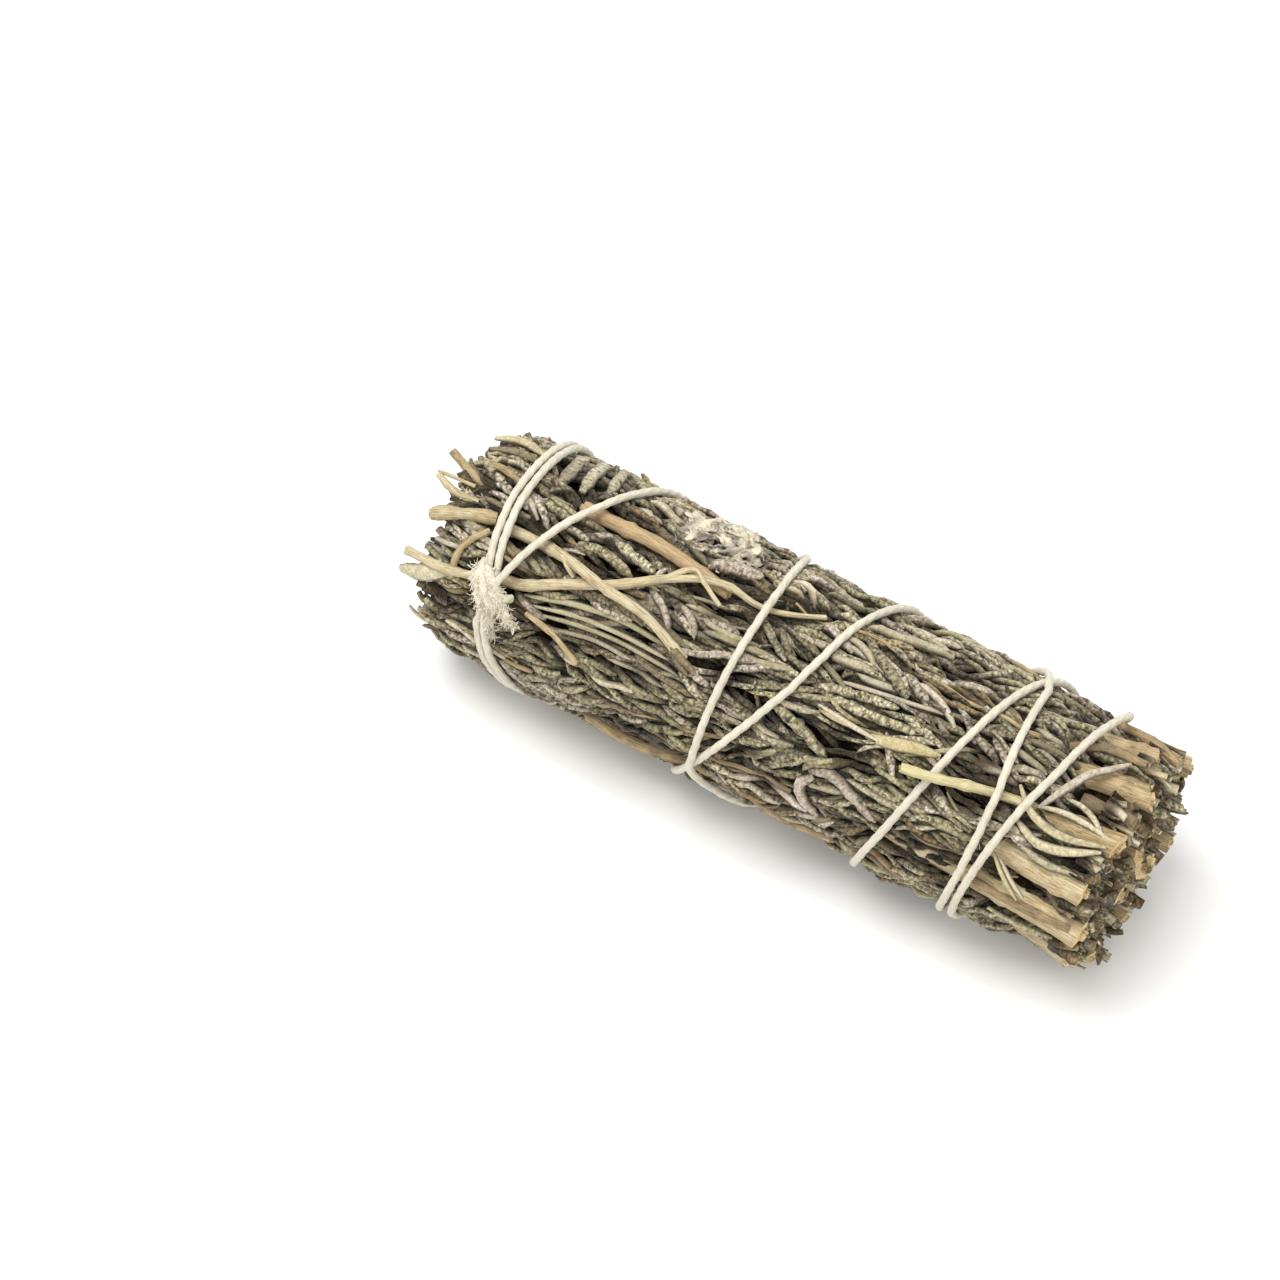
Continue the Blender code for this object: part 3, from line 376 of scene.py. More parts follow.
class LeafSettings(bpy.types.PropertyGroup):
    """Sizes and colours of the dried leaves"""

    deep_twigs: IntProperty(
        name="Deep twigs", description="Leafy twigs at the bottom of the pile", default=95, min=10, max=400
    )
    twigs: IntProperty(
        name="Outer twigs", description="Leafy twigs on top of the pile", default=280, min=10, max=400
    )
    patches: IntProperty(
        name="Single leaves", description="Short leaves in the twigs' gaps", default=1500, min=0, max=4000
    )
    half_width: FloatProperty(
        name="Half width", description="Half the width of a middling leaf", default=0.00049, unit="LENGTH"
    )
    thickness: FloatProperty(
        name="Thickness", description="How thick the rolled-up leaf is", default=0.00085, unit="LENGTH"
    )
    crimp: FloatProperty(
        name="Crimp", description="Share by which the leaf's surface goes up and down", default=0.24,
        subtype="FACTOR"
    )
    pebble: FloatProperty(
        name="Pebble size", description="Length of the crimped leaf's pebbles", default=0.00052, unit="LENGTH"
    )
    brown: colour_setting("Brown leaf", "Colour of the leaf ends and scraps", "#8e7a59")
    shaded: colour_setting("Shaded leaf", "Colour of the old leaves deep in the pile", "#7f775e")
    olive: colour_setting("Olive leaf", "Colour of the greenest leaves", "#aba380")
    grey: colour_setting("Grey leaf", "Colour of the downy grey-green leaves", "#bab197")
    mauve: colour_setting("Mauve leaf", "Colour of the leaves that dried to a lilac grey", "#b9ac9c")
    straw: colour_setting("Straw leaf", "Colour of the smooth bleached leaves", "#c6bc9e")
    sulphur: colour_setting("Yellow leaf", "Colour of the yellowed leaves", "#b7a97e")


class StemSettings(bpy.types.PropertyGroup):
    """Sizes and colours of the woody stems"""

    ridges: IntProperty(name="Ridges", description="Ridges round a stem", default=7, min=3, max=16)
    ridge_depth: FloatProperty(
        name="Ridge depth", description="Depth of the ridges as a share of the radius", default=0.07,
        subtype="FACTOR"
    )
    weathered: colour_setting("Weathered bark", "Colour of the oldest bark", "#86765e")
    bark: colour_setting("Bark", "Colour of the dry bark", "#b59d74")
    straw: colour_setting("Straw", "Colour of the young pale stems", "#cbbd9a")
    tan: colour_setting("Tan stem", "Colour of the stem that dried to a warm tan", "#bea17b")
    stalk: colour_setting("Stalk", "Colour of the pale broken stalk", "#cec38f")
    wood: colour_setting("Cut wood", "Colour of the cut ends", "#d8bf90")


class TuftSettings(bpy.types.PropertyGroup):
    """Numbers and colours of the woolly young leaves"""

    petals: IntProperty(name="Petals", description="Young leaves in the tuft", default=60, min=1, max=400)
    hairs: IntProperty(name="Hairs", description="Hairs on each young leaf", default=5, min=0, max=40)
    pale: colour_setting("Felt", "Colour of the felt on top", "#e8dec2")
    # The grey felt is painted shade between the tufts, mixed in by noise
    grey: colour_setting("Grey felt", "Colour between the tufts", "#958b7b")


class StringSettings(bpy.types.PropertyGroup):
    """Sizes and colour of the cotton string"""

    radius: FloatProperty(
        name="Radius", description="Radius of the string where it is pulled tight", default=STRING_RADIUS,
        unit="LENGTH"
    )
    ply: IntProperty(name="Plies", description="Yarns twisted into the string", default=3, min=2, max=6)
    lay: FloatProperty(name="Lay", description="Length of one full twist", default=0.0062, unit="LENGTH")
    ply_depth: FloatProperty(
        name="Ply depth", description="Depth between the plies as a share of the radius", default=0.08,
        subtype="FACTOR"
    )
    hairs: IntProperty(name="Hairs", description="Loose hairs along the string", default=420, min=0, max=4000)
    wisps: IntProperty(name="Wisps", description="Wisps of cotton on the knot", default=1300, min=0, max=4000)
    cotton: colour_setting("Cotton", "Colour of the undyed cotton", "#e3dbc6")
    teased: colour_setting("Teased cotton", "Colour of the knot's loose cotton", "#f3ebd6")
    # The colour between the wisps is painted shade, mixed in by noise
    teased_painted_shade: colour_setting("Teased cotton inside", "Colour between its wisps", "#dbd2ba")


class StageSettings(bpy.types.PropertyGroup):
    """The floor, the lights and the camera"""

    floor: colour_setting("Floor", "Colour of the floor", "#f7f6f4")
    elevation: FloatProperty(
        name="Camera elevation", description="How far the camera looks down", default=math.radians(54),
        subtype="ANGLE"
    )
    azimuth: FloatProperty(
        name="Camera azimuth", description="How far the camera stands round to the right",
        default=math.radians(32), subtype="ANGLE"
    )
    distance: FloatProperty(
        name="Camera distance", description="From the camera to the bundle", default=0.43, unit="LENGTH"
    )
    lens: FloatProperty(name="Lens", description="Focal length in mm", default=92.0)


def smooth_step(low, high, value):
    share = np.clip((value - low) / (high - low), 0, 1)
    return share * share * (3 - 2 * share)


def place(x, angle, distance):
    """Points on the bundle, in metres, from x and distance in mm. The underside is pressed flat."""
    x, angle, distance = np.broadcast_arrays(np.asarray(x, float), angle, distance)
    bearing = np.radians(angle + FRONT_BEARING)
    down = np.maximum(-np.sin(bearing), 0)
    reach = distance * MM * (1 + (down / PRESSED_SHARE) ** PRESS_SHARPNESS) ** (-1 / PRESS_SHARPNESS)
    return np.stack([x * MM, AXIS_SIDE - reach * np.cos(bearing), AXIS_HEIGHT + reach * np.sin(bearing)], -1)


def unit(vectors):
    return vectors / np.maximum(np.linalg.norm(vectors, axis=-1, keepdims=True), 1e-12)


def below(angle, spread):
    """1 straight underneath the axis, falling to 0 at about twice the spread from there, in degrees."""
    off = (angle + FRONT_BEARING + 90 + 180) % 360 - 180
    return np.exp(-((off / spread) ** 2))


def seam(number, x):
    """The angle of the gap between two neighbouring sprigs, at x in mm."""
    wave = SEAM_WAVE * np.sin(2 * math.pi * x * MM / SEAM_WAVELENGTH + number % SPRIG_COUNT * 1.7)
    return FIRST_SEAM + 360 / SPRIG_COUNT * number + SEAM_TWIST * x * MM / BODY_LENGTH + wave


def sprig_at(x, angle):
    """The number of the sprig that holds that place."""
    turned = angle - SEAM_TWIST * x * MM / BODY_LENGTH - FIRST_SEAM
    return int(turned % 360 // (360 / SPRIG_COUNT))


def follow(knots, values, at):
    """A smooth curve through the values at the knots, read at each of the places in at."""
    knots, values = np.array(knots, float), np.array(values, float)
    slopes = np.gradient(values, knots)
    low = np.clip(np.searchsorted(knots, at, side="right") - 1, 0, len(knots) - 2)
    span = knots[low + 1] - knots[low]
    t = (np.asarray(at, float) - knots[low]) / span
    return (
        (2 * t**3 - 3 * t**2 + 1) * values[low]
        + (t**3 - 2 * t**2 + t) * span * slopes[low]
        + (3 * t**2 - 2 * t**3) * values[low + 1]
        + (t**3 - t**2) * span * slopes[low + 1]
    )


def string_route(step):
    """Angles, x and distances in mm along the whole string. A later strand passes over earlier ones."""
    knots = [(angle, x - BINDING_PITCH / 2) for angle, x in BINDING[:-1]]
    knots += [(angle + 360, x + BINDING_PITCH / 2) for angle, x in BINDING]
    knots += [(angle + 360 * turns, x) for turns, angle, x in WRAPS]
    angles = np.arange(knots[0][0], knots[-1][0] + STRING_STEP / 2, STRING_STEP)
    along = follow([k[0] for k in knots], [k[1] * MM for k in knots], angles)
    apart = 2 * STRING_RADIUS + CLEARANCE
    finest = np.arange(angles[0], angles[-1], FINE_STEP)
    xs = np.interp(finest, angles, along)
    heights = STRING_SEAT - STRING_SEAT_BELOW * below(finest, 35)
    fall = CROSSING_SLOPE * (math.radians(FINE_STEP) * STRING_SEAT)
    skip = round(90 / FINE_STEP)
    for k in range(skip, len(finest)):
        earlier = slice(0, k - skip)
        turned = (finest[earlier] - finest[k] + 180) % 360 - 180
        off = np.hypot(xs[earlier] - xs[k], np.radians(turned) * STRING_SEAT)
        near = off < apart
        over = heights[earlier][near] + np.sqrt(apart**2 - off[near] ** 2)
        heights[k] = max([heights[k], heights[k - 1] - fall, *over])
        for back in range(1, 12):
            heights[k - back] = max(heights[k - back], heights[k] - fall * back)
    heights -= TUCKED_END_DEPTH * np.clip((finest - finest[-1]) / TUCKED_END_DEGREES + 1, 0, 1)
    at = np.arange(angles[0], angles[-1] + step / 2, step)
    corners = np.interp(angles, finest, heights)
    return at, np.interp(at, angles, along) / MM, np.interp(at, angles, corners) / MM


def resample(places, count):
    """A smooth run of places through the few given ones: x, angle and distance."""
    knots = np.array(places, float)
    if knots[0, 0] > knots[-1, 0]:
        knots = knots[::-1]
    at = np.linspace(knots[0, 0], knots[-1, 0], count)
    return at, follow(knots[:, 0], knots[:, 1], at), follow(knots[:, 0], knots[:, 2], at)


def sprig_stem_places(number, left):
    """Where a sprig's own stem runs: inside the leaves, and out to the surface at its cut right end."""
    shift, _, right, emerging = STEM_ENDS[number]
    xs = np.array([left, -38.0, 4.0, 35.0, 43.0, right])
    distances = np.array([12.4, 11.5, 11.4, emerging, 13.4, 14.1])
    middles = (seam(number, xs) + seam(number + 1, xs)) / 2
    return np.stack([xs, middles + shift * smooth_step(0.0, 45.0, xs), distances], 1)


class LeafPile:
    """The bundle's outside unrolled to a map: how high the leaves lie so far and how high they may lie, how
    crowded it is with leaves that show, and where they lean and which colour they tend to."""

    def __init__(self, chance):
        rows, columns = MAP_SHAPE
        self.x = MAP_LEFT + MAP_STEP * np.arange(rows)[:, None]
        self.angle = np.arange(columns)[None, :] * 360 / columns
        self.height = FLOOR_OF_CREVICES + 0.3 * self.rolling(chance, 5.0)
        self.ceiling = CEILING + 0.35 * self.rolling(chance, 12.0) + 0.4 * self.rolling(chance, 4.0)
        for start, end, drop in END_SLOPES:
            self.ceiling = self.ceiling - drop * smooth_step(start, end, self.x)
        self.ceiling = self.ceiling + 0.3 * below(self.angle, 20)
        self.limit = np.full(MAP_SHAPE, NO_LIMIT)
        self.shown = np.zeros(MAP_SHAPE)
        self.lean = np.radians(12) * self.rolling(chance, 16.0) + np.radians(12) * self.rolling(chance, 7.0)
        self.hue = 0.6 * self.rolling(chance, 18.0) + 0.4 * self.rolling(chance, 7.0)

    def rolling(self, chance, spacing):
        """Smooth random numbers from -1 to 1 over the map, which join up where it closes round."""
        rows, columns = round(MAP_LENGTH / spacing) + 2, round(GIRTH / spacing)
        coarse = chance.uniform(-1, 1, (rows, columns))
        u = np.linspace(0, rows - 1.001, MAP_SHAPE[0])[:, None]
        v = np.linspace(0, columns, MAP_SHAPE[1], endpoint=False)[None, :]
        low_u, low_v = u.astype(int), v.astype(int)
        share_u, share_v = smooth_step(0, 1, u - low_u), smooth_step(0, 1, v - low_v)
        next_v = (low_v + 1) % columns
        near, far = (
            coarse[row, low_v] * (1 - share_v) + coarse[row, next_v] * share_v for row in (low_u, low_u + 1)
        )
        return near * (1 - share_u) + far * share_u

    def cells(self, x, angle):
        """The map's rows and columns at those places."""
        row = np.clip(np.round((x - MAP_LEFT) / MAP_STEP).astype(int), 0, MAP_SHAPE[0] - 1)
        column = np.round(np.asarray(angle) / 360 * MAP_SHAPE[1]).astype(int) % MAP_SHAPE[1]
        return row, column

    def around(self, x, angle, radius):
        """The cells within that radius of each place, in mm, and how far off each one is."""
        span = math.ceil(radius / MAP_STEP)
        step = np.arange(-span, span + 1)
        dx, ds = [d.ravel() for d in np.meshgrid(step, step, indexing="ij")]
        row, column = self.cells(np.asarray(x, float), angle)
        rows = np.clip(row[:, None] + dx, 0, MAP_SHAPE[0] - 1)
        columns = (column[:, None] + ds) % MAP_SHAPE[1]
        return rows, columns, np.broadcast_to(np.hypot(dx, ds) * MAP_STEP, rows.shape)

    def hold_down(self, path, lift, half_width, slope, reach):
        """Keeps the leaves under something that lies across them, and lets them rise again beside it."""
        x, angle, level = path
        rows, columns, off = self.around(x, angle, reach)
        most = (level + lift)[:, None] + slope * np.maximum(off - half_width, 0)
        np.minimum.at(self.limit, (rows, columns), np.where(off <= reach, most, NO_LIMIT))

    def fill_up(self, x, angle, radius, level):
        """Fills the pile up to a level under something that lies on top of it."""
        rows, columns, off = self.around(x, angle, radius)
        np.maximum.at(self.height, (rows, columns), np.where(off <= radius, level, 0))

    def most(self, x, angle, room):
        """How high a leaf's top may lie that stays that far under the bundle's round form."""
        cells = self.cells(x, angle)
        return np.minimum(self.ceiling[cells] - room, self.limit[cells])

    def lay(self, x, angle, half_width, thickness, room, rules):
        """The distances at which a leaf comes to lie on what is there, or None if it would be buried or would
        hide too much of the leaves that show."""
        if np.mean(self.shown[self.cells(x, angle)]) > rules["crowd"]:
            return None
        heading = np.gradient(np.radians(angle) * MAP_RADIUS), -np.gradient(x)
        length = np.maximum(np.hypot(*heading), 1e-6)
        across_x, across_s = heading[0] / length, heading[1] / length
        under = []
        for share in (-0.75, 0, 0.75):
            off = share * half_width
            cells = self.cells(x + across_x * off, angle + np.degrees(across_s * off / MAP_RADIUS))
            under.append(self.height[cells])
        # The leaf rests on the higher parts of what is under its width, and bridges short hollows
        under = np.sort(under, axis=0)
        rest = 0.6 * under[2] + 0.4 * under[1]
        padded = np.pad(rest, 3, mode="edge")
        held = np.max([padded[k : k + len(rest)] for k in range(1, 6)], axis=0)
        padded = np.pad(0.5 * held + 0.5 * rest, 2, mode="edge")
        rest = np.mean([padded[k : k + len(rest)] for k in range(5)], axis=0)
        distance = np.minimum(rest, self.most(x, angle, room) - thickness)
        if np.mean(distance + thickness - rest) < rules["least"]:
            return None
        rows, columns, off = self.around(x, angle, float(np.max(half_width)))
        share = np.clip(off / np.maximum(half_width[:, None], 0.1), 0, 1.05)
        top = distance[:, None] + thickness[:, None] * np.sqrt(np.maximum(1 - share**2, 0))
        np.maximum.at(self.height, (rows, columns), np.where(share <= 1, top, 0))
        np.maximum.at(self.shown, (rows, columns), np.where(share <= 1, rules["weight"], 0))
        return distance


def strip(points, outward, half_width, thickness, tone, rings, light=1.0, crimp=1.0):
    """One leaf, stem or hair, as rings along a line: the widths are in mm, the tone picks its colour, light
    dims it with painted shade and a random tone, and crimp says how crumpled it is."""
    count = len(points)
    at, index = np.linspace(0, count - 1, rings), np.arange(count)

    def pick(values):
        if np.ndim(values) == 2:
            return np.stack([np.interp(at, index, values[:, k]) for k in range(3)], 1)
        return np.interp(at, index, np.broadcast_to(values, count))

    points, outward = pick(points), unit(pick(outward))
    way = unit(np.gradient(points, axis=0))
    side = unit(np.cross(way, outward))
    steps = np.linalg.norm(np.diff(points, axis=0), axis=1)
    return {
        "points": points, "side": side, "outward": np.cross(side, way), "half": pick(half_width) * MM,
        "thick": pick(thickness) * MM, "run": np.concatenate([[0], np.cumsum(steps)]) + tone * RUN_SHIFT,
        "tone": np.full(rings, tone), "light": pick(light), "crimp": pick(crimp),
    }


def radial(x, angle, distance):
    """Outwards from the axis, at each place."""
    return unit(place(x, angle, distance + 0.5) - place(x, angle, distance - 0.5))


def strip_over(path, *looks):
    """A strip along places on the bundle, facing outwards."""
    return strip(place(*path), radial(*path), *looks)


def line_mesh(name, strips):
    """The strips' lines as one mesh of edges, with what the sweep needs to know stored on their points."""
    ends = np.cumsum([len(s["points"]) for s in strips])
    last = set(ends - 1)
    edges = [(k, k + 1) for k in range(ends[-1] - 1) if k not in last]
    mesh = bpy.data.meshes.new(name)
    mesh.from_pydata(np.concatenate([s["points"] for s in strips]).tolist(), edges, [])
    for key in ("side", "outward", "half", "thick", "run", "tone", "light", "crimp"):
        kind, field = ("FLOAT_VECTOR", "vector") if key in ("side", "outward") else ("FLOAT", "value")
        values = np.concatenate([s[key] for s in strips]).astype(np.float32)
        mesh.attributes.new(key, kind, "POINT").data.foreach_set(field, values.ravel())
    return mesh


# Kinds of node that the trees use again and again
MATH, VECTOR_MATH, VECTOR = "ShaderNodeMath", "ShaderNodeVectorMath", "ShaderNodeCombineXYZ"
READ, PLACE, RANGE = "ShaderNodeAttribute", "ShaderNodeTexCoord", "ShaderNodeMapRange"
NOISE, CELLS, COLOURS = "ShaderNodeTexNoise", "ShaderNodeTexVoronoi", "ShaderNodeValToRGB"
BUMP, STORE = "ShaderNodeBump", "GeometryNodeStoreNamedAttribute"


def node(tree, kind, feeds=None, stops=None, **settings):
    """Adds a node with its settings. feeds are by the input's number or identifier, and each is a value, a
    socket, or a node that stands for its first output. stops are the places and colours of a ramp."""
    made = tree.nodes.new(kind)
    for number, (at, colour) in enumerate(stops or ()):
        marks = made.color_ramp.elements
        mark = marks[number] if number < 2 else marks.new(at)
        mark.position, mark.color = at, (*colour, 1.0)
    for name, value in settings.items():
        setattr(made, name, value)
    for key, value in (feeds or {}).items():
        socket = next(s for k, s in enumerate(made.inputs) if key in (k, s.identifier))
        if isinstance(value, bpy.types.Node):
            tree.links.new(value.outputs[0], socket)
        elif isinstance(value, bpy.types.NodeSocket):
            tree.links.new(value, socket)
        else:
            socket.default_value = value
    return made


SWEEP_NAME = "Sweep along lines"
SWEEP_INPUTS = [
    ("Section Points", "NodeSocketInt", 5),
    ("Section Angle", "NodeSocketFloat", math.pi / 4),
    ("Lobes", "NodeSocketFloat", 0.0),
    ("Lobe Depth", "NodeSocketFloat", 0.0),
    ("Twist", "NodeSocketFloat", 0.0),
    ("Groove", "NodeSocketFloat", 0.0),
    ("Lumps", "NodeSocketFloat", 0.0),
    ("Seed", "NodeSocketInt", 0),
    ("Material", "NodeSocketMaterial", None),
]
GROOVE_SHARPNESS = 8.0

# How far a point of the section lies from its line, aside and above it. Each row names a result, says what is
# done, and then names what it is done to: a stored value, an input, an earlier result, or a number
SECTION_RULE = [
    ("turn", "MULTIPLY", "section", "Section Angle"),
    ("twisted", "MULTIPLY_ADD", "run", "Twist", "turn"),
    ("across", "COSINE", "twisted"),
    ("up", "SINE", "twisted"),
    ("lobe turn", "MULTIPLY", "turn", "Lobes"),
    ("lobe", "COSINE", "lobe turn"),
    ("lobed", "MULTIPLY_ADD", "lobe", "Lobe Depth", 1.0),
    ("lump size", "MULTIPLY", "crimp", "Lumps"),
    ("lumpy", "MULTIPLY_ADD", "chance", "lump size", "lobed"),
    ("ridge", "POWER", "up", GROOVE_SHARPNESS),
    ("groove depth", "MULTIPLY", "crimp", "Groove"),
    ("groove", "MULTIPLY", "ridge", "groove depth"),
    ("crest", "SUBTRACT", "lumpy", "groove"),
    ("width share", "MULTIPLY", "across", "lumpy"),
    ("aside", "MULTIPLY", "width share", "half"),
    ("height share", "MULTIPLY", "up", "crest"),
    ("above", "MULTIPLY", "height share", "thick"),
]


def draw_sweep(tree):
    """Draws a closed section along every line: half round for a leaf, or round with lobes for a stem or a
    twisted string."""
    for way in ("OUTPUT", "INPUT"):
        tree.interface.new_socket(name="Geometry", in_out=way, socket_type="NodeSocketGeometry")
    for name, kind, value in SWEEP_INPUTS:
        socket = tree.interface.new_socket(name=name, in_out="INPUT", socket_type=kind)
        if value is not None:
            socket.default_value = value
    known = {socket.name: socket for socket in node(tree, "NodeGroupInput").outputs}
    for name in ("spot", "side", "outward", "section", "half", "thick", "run", "crimp"):
        kind = "FLOAT_VECTOR" if name in ("spot", "side", "outward") else "FLOAT"
        stored = node(tree, "GeometryNodeInputNamedAttribute", {"Name": name}, data_type=kind)
        known[name] = stored.outputs["Attribute"]
    chance = node(tree, "FunctionNodeRandomValue", {"Min_001": -1.0, "Max_001": 1.0, "Seed": known["Seed"]},
                  data_type="FLOAT")
    known["chance"] = next(s for s in chance.outputs if s.identifier == "Value_001")
    for name, operation, *feeds in SECTION_RULE:
        known[name] = node(tree, MATH, {k: known.get(feed, feed) for k, feed in enumerate(feeds)},
                           operation=operation).outputs[0]

    lines = node(tree, "GeometryNodeMeshToCurve", {0: known["Geometry"]})
    ring = {"Resolution": known["Section Points"], "Radius": MM}
    ring = node(tree, "GeometryNodeCurvePrimitiveCircle", ring)
    position, number = node(tree, "GeometryNodeInputPosition"), node(tree, "GeometryNodeInputIndex")
    lines = node(tree, STORE, {"Geometry": lines, "Name": "spot", "Value": position},
                 data_type="FLOAT_VECTOR", domain="POINT")
    ring = node(tree, STORE, {"Geometry": ring, "Name": "section", "Value": number},
                data_type="FLOAT", domain="POINT")
    made = node(tree, "GeometryNodeCurveToMesh", {"Curve": lines, "Profile Curve": ring, "Fill Caps": True})
    moved = known["spot"]
    for way, reach in (("side", "aside"), ("outward", "above")):
        step = node(tree, VECTOR_MATH, {"Vector": known[way], "Scale": known[reach]}, operation="SCALE")
        moved = node(tree, VECTOR_MATH, {0: moved, 1: step}, operation="ADD")
    made = node(tree, "GeometryNodeSetPosition", {"Geometry": made, "Position": moved})
    grain = node(tree, VECTOR, {0: known["run"], 1: known["aside"], 2: known["above"]})
    for name, value, kind in (("grain", grain, "FLOAT_VECTOR"), ("across", known["across"], "FLOAT")):
        stored = {"Geometry": made, "Name": name, "Value": value}
        made = node(tree, STORE, stored, data_type=kind, domain="POINT")
    made = node(tree, "GeometryNodeSetShadeSmooth", {"Geometry": made})
    made = node(tree, "GeometryNodeRealizeInstances", {"Geometry": made})
    made = node(tree, "GeometryNodeSetMaterial", {"Geometry": made, "Material": known["Material"]})
    node(tree, "NodeGroupOutput", {0: made})


def add_to_scene(name, mesh):
    piece = bpy.data.objects.new(name, mesh)
    bpy.context.scene.collection.objects.link(piece)
    return piece


def swept(name, strips, made_of, section, seed, **shape):
    """The strips as one plain mesh object. section is "half", or the number of points of a round one."""
    tree = bpy.data.node_groups.get(SWEEP_NAME)
    if not tree:
        tree = bpy.data.node_groups.new(SWEEP_NAME, "GeometryNodeTree")
        draw_sweep(tree)
    names = {item.name: item.identifier for item in tree.interface.items_tree if item.in_out == "INPUT"}
    lines = add_to_scene(name, line_mesh(f"{name}_lines", strips))
    modifier = lines.modifiers.new("Sweep", "NODES")
    modifier.node_group = tree
    half = section == "half"
    given = {
        "Section Points": 5 if half else section,
        "Section Angle": math.pi / 4 if half else 2 * math.pi / section,
        "Seed": seed, "Material": made_of,
    }
    for key, value in {**given, **shape}.items():
        modifier[names[key.replace("_", " ")]] = value
    bpy.context.view_layer.update()
    mesh = bpy.data.meshes.new_from_object(lines.evaluated_get(bpy.context.evaluated_depsgraph_get()))
    lines.modifiers.clear()
    bpy.data.objects.remove(lines, do_unlink=True)
    mesh.name = name
    for key in ("spot", "side", "outward", "section", "half", "thick", "run"):
        mesh.attributes.remove(mesh.attributes[key])
    return add_to_scene(name, mesh)


def walk(x, angle, heading, bend, hook, length):
    """A line over the bundle in short steps. With a heading of 0 it runs to the left. hook turns its tip."""
    count = max(8, round(length / WALK))
    share = np.linspace(0, 1, count)[:-1]
    turned = heading + bend * share + hook * share**5
    xs = x - WALK * np.concatenate([[0], np.cumsum(np.cos(turned))])
    angles = angle + np.degrees(WALK * np.concatenate([[0], np.cumsum(np.sin(turned))]) / MAP_RADIUS)
    return xs, angles


def trace(places):
    """A smooth line over the bundle through a few places, in short steps."""
    places = np.array(places, float)
    steps = np.hypot(np.diff(places[:, 0]), np.radians(np.diff(places[:, 1])) * MAP_RADIUS)
    run = np.concatenate([[0], np.cumsum(steps)])
    at = np.linspace(0, run[-1], max(8, round(run[-1] / WALK)))
    return [follow(run, places[:, k], at) for k in range(places.shape[1])]


def leaf_outline(share, trimmed):
    """The width of a leaf from its foot (0) to its tip (1) as a share of its greatest."""
    width = (0.5 + 0.5 * smooth_step(0, 0.25, share)) * (1 - 0.22 * share)
    if trimmed:
        return width
    return width * np.sqrt(np.clip(1.02 - (np.maximum(share - 0.84, 0) / 0.16) ** 2, 0.01, 1))


class LeafLayer:
    """Lays leaves on the pile by its rules, and keeps their strips by the sprig that they lie on."""

    def __init__(self, pile, chance):
        self.pile, self.chance = pile, chance
        self.sprigs = [[] for _ in range(SPRIG_COUNT)]
        self.rules = DEEP_LEAVES

    def keep(self, path, *looks):
        """Adds a strip to the sprig that its middle lies on."""
        xs, angles = path[:2]
        middle = len(xs) // 2
        self.sprigs[sprig_at(xs[middle], angles[middle])].append(strip_over(path, *looks))

    def lay(self, path, half_width, thickness, tone, room, crimp=1.0, trimmed=True):
        """Lays one leaf, trimmed where it reaches past the ends of the bundle."""
        pile, chance = self.pile, self.chance
        xs, angles = path
        length = len(xs) * WALK
        cut_short = False
        if trimmed:
            left, right = LEFT_CUT + chance.uniform(-0.9, 1.6), RIGHT_CUT + chance.uniform(-1.6, 0.5)
            inside = (xs > left) & (xs < right)
            if inside.sum() < 7:
                return
            cut_short = not inside[-1]
            xs, angles = xs[inside], angles[inside]
        share = np.linspace(0, 1, len(xs))
        outline = leaf_outline(share, cut_short)
        run = share * length
        swell = 1 + 0.10 * np.sin(run * 2.6 + tone * 40) + 0.06 * np.sin(run * 5.1 + tone * 90)
        width = half_width * outline * (1 + (swell - 1) * crimp)
        thick = thickness * (0.55 + 0.45 * outline)
        distance = pile.lay(xs, angles, width, thick, room, self.rules)
        if distance is None:
            return
        # Painted shade: a leaf that lies deep under the bundle's round form is dimmed, times a random tone
        # from leaf to leaf
        deep = smooth_step(-1.8, -0.35, distance + thick - pile.ceiling[pile.cells(xs, angles)])
        dimmest = self.rules["dimmest"]
        light = (dimmest + (1 - dimmest) * deep) * chance.uniform(0.86, 1.14)
        lift = chance.uniform(0.0, 0.6) * smooth_step(0.65, 1, share) * (not cut_short)
        bow = chance.uniform(-0.1, 0.3) * np.sin(math.pi * share)
        sunk = 0.45 * (1 - smooth_step(0, 0.16, share))
        distance = np.minimum(distance + lift + bow, pile.most(xs, angles, -0.9) - thick) - sunk
        rings = int(np.clip(length * self.rules["fineness"], 6, 15))
        self.keep((xs, angles, distance), width, thick, tone, rings, light, crimp)

    def lay_over(self, path, half_width, thickness, tone, crimp):
        """One leaf at the distances given with its path, over everything else."""
        width = half_width * np.sin(math.pi * np.linspace(0.07, 0.95, len(path[0]))) ** 0.6
        self.keep(path, width, thickness, tone, 16, 1.0, crimp)


def short_line(x, angle, distance, half_length):
    """A short straight line along the bundle."""
    spread = np.linspace(-1, 1, 15)
    return x + spread * half_length, angle + spread * 0, distance + spread * 0


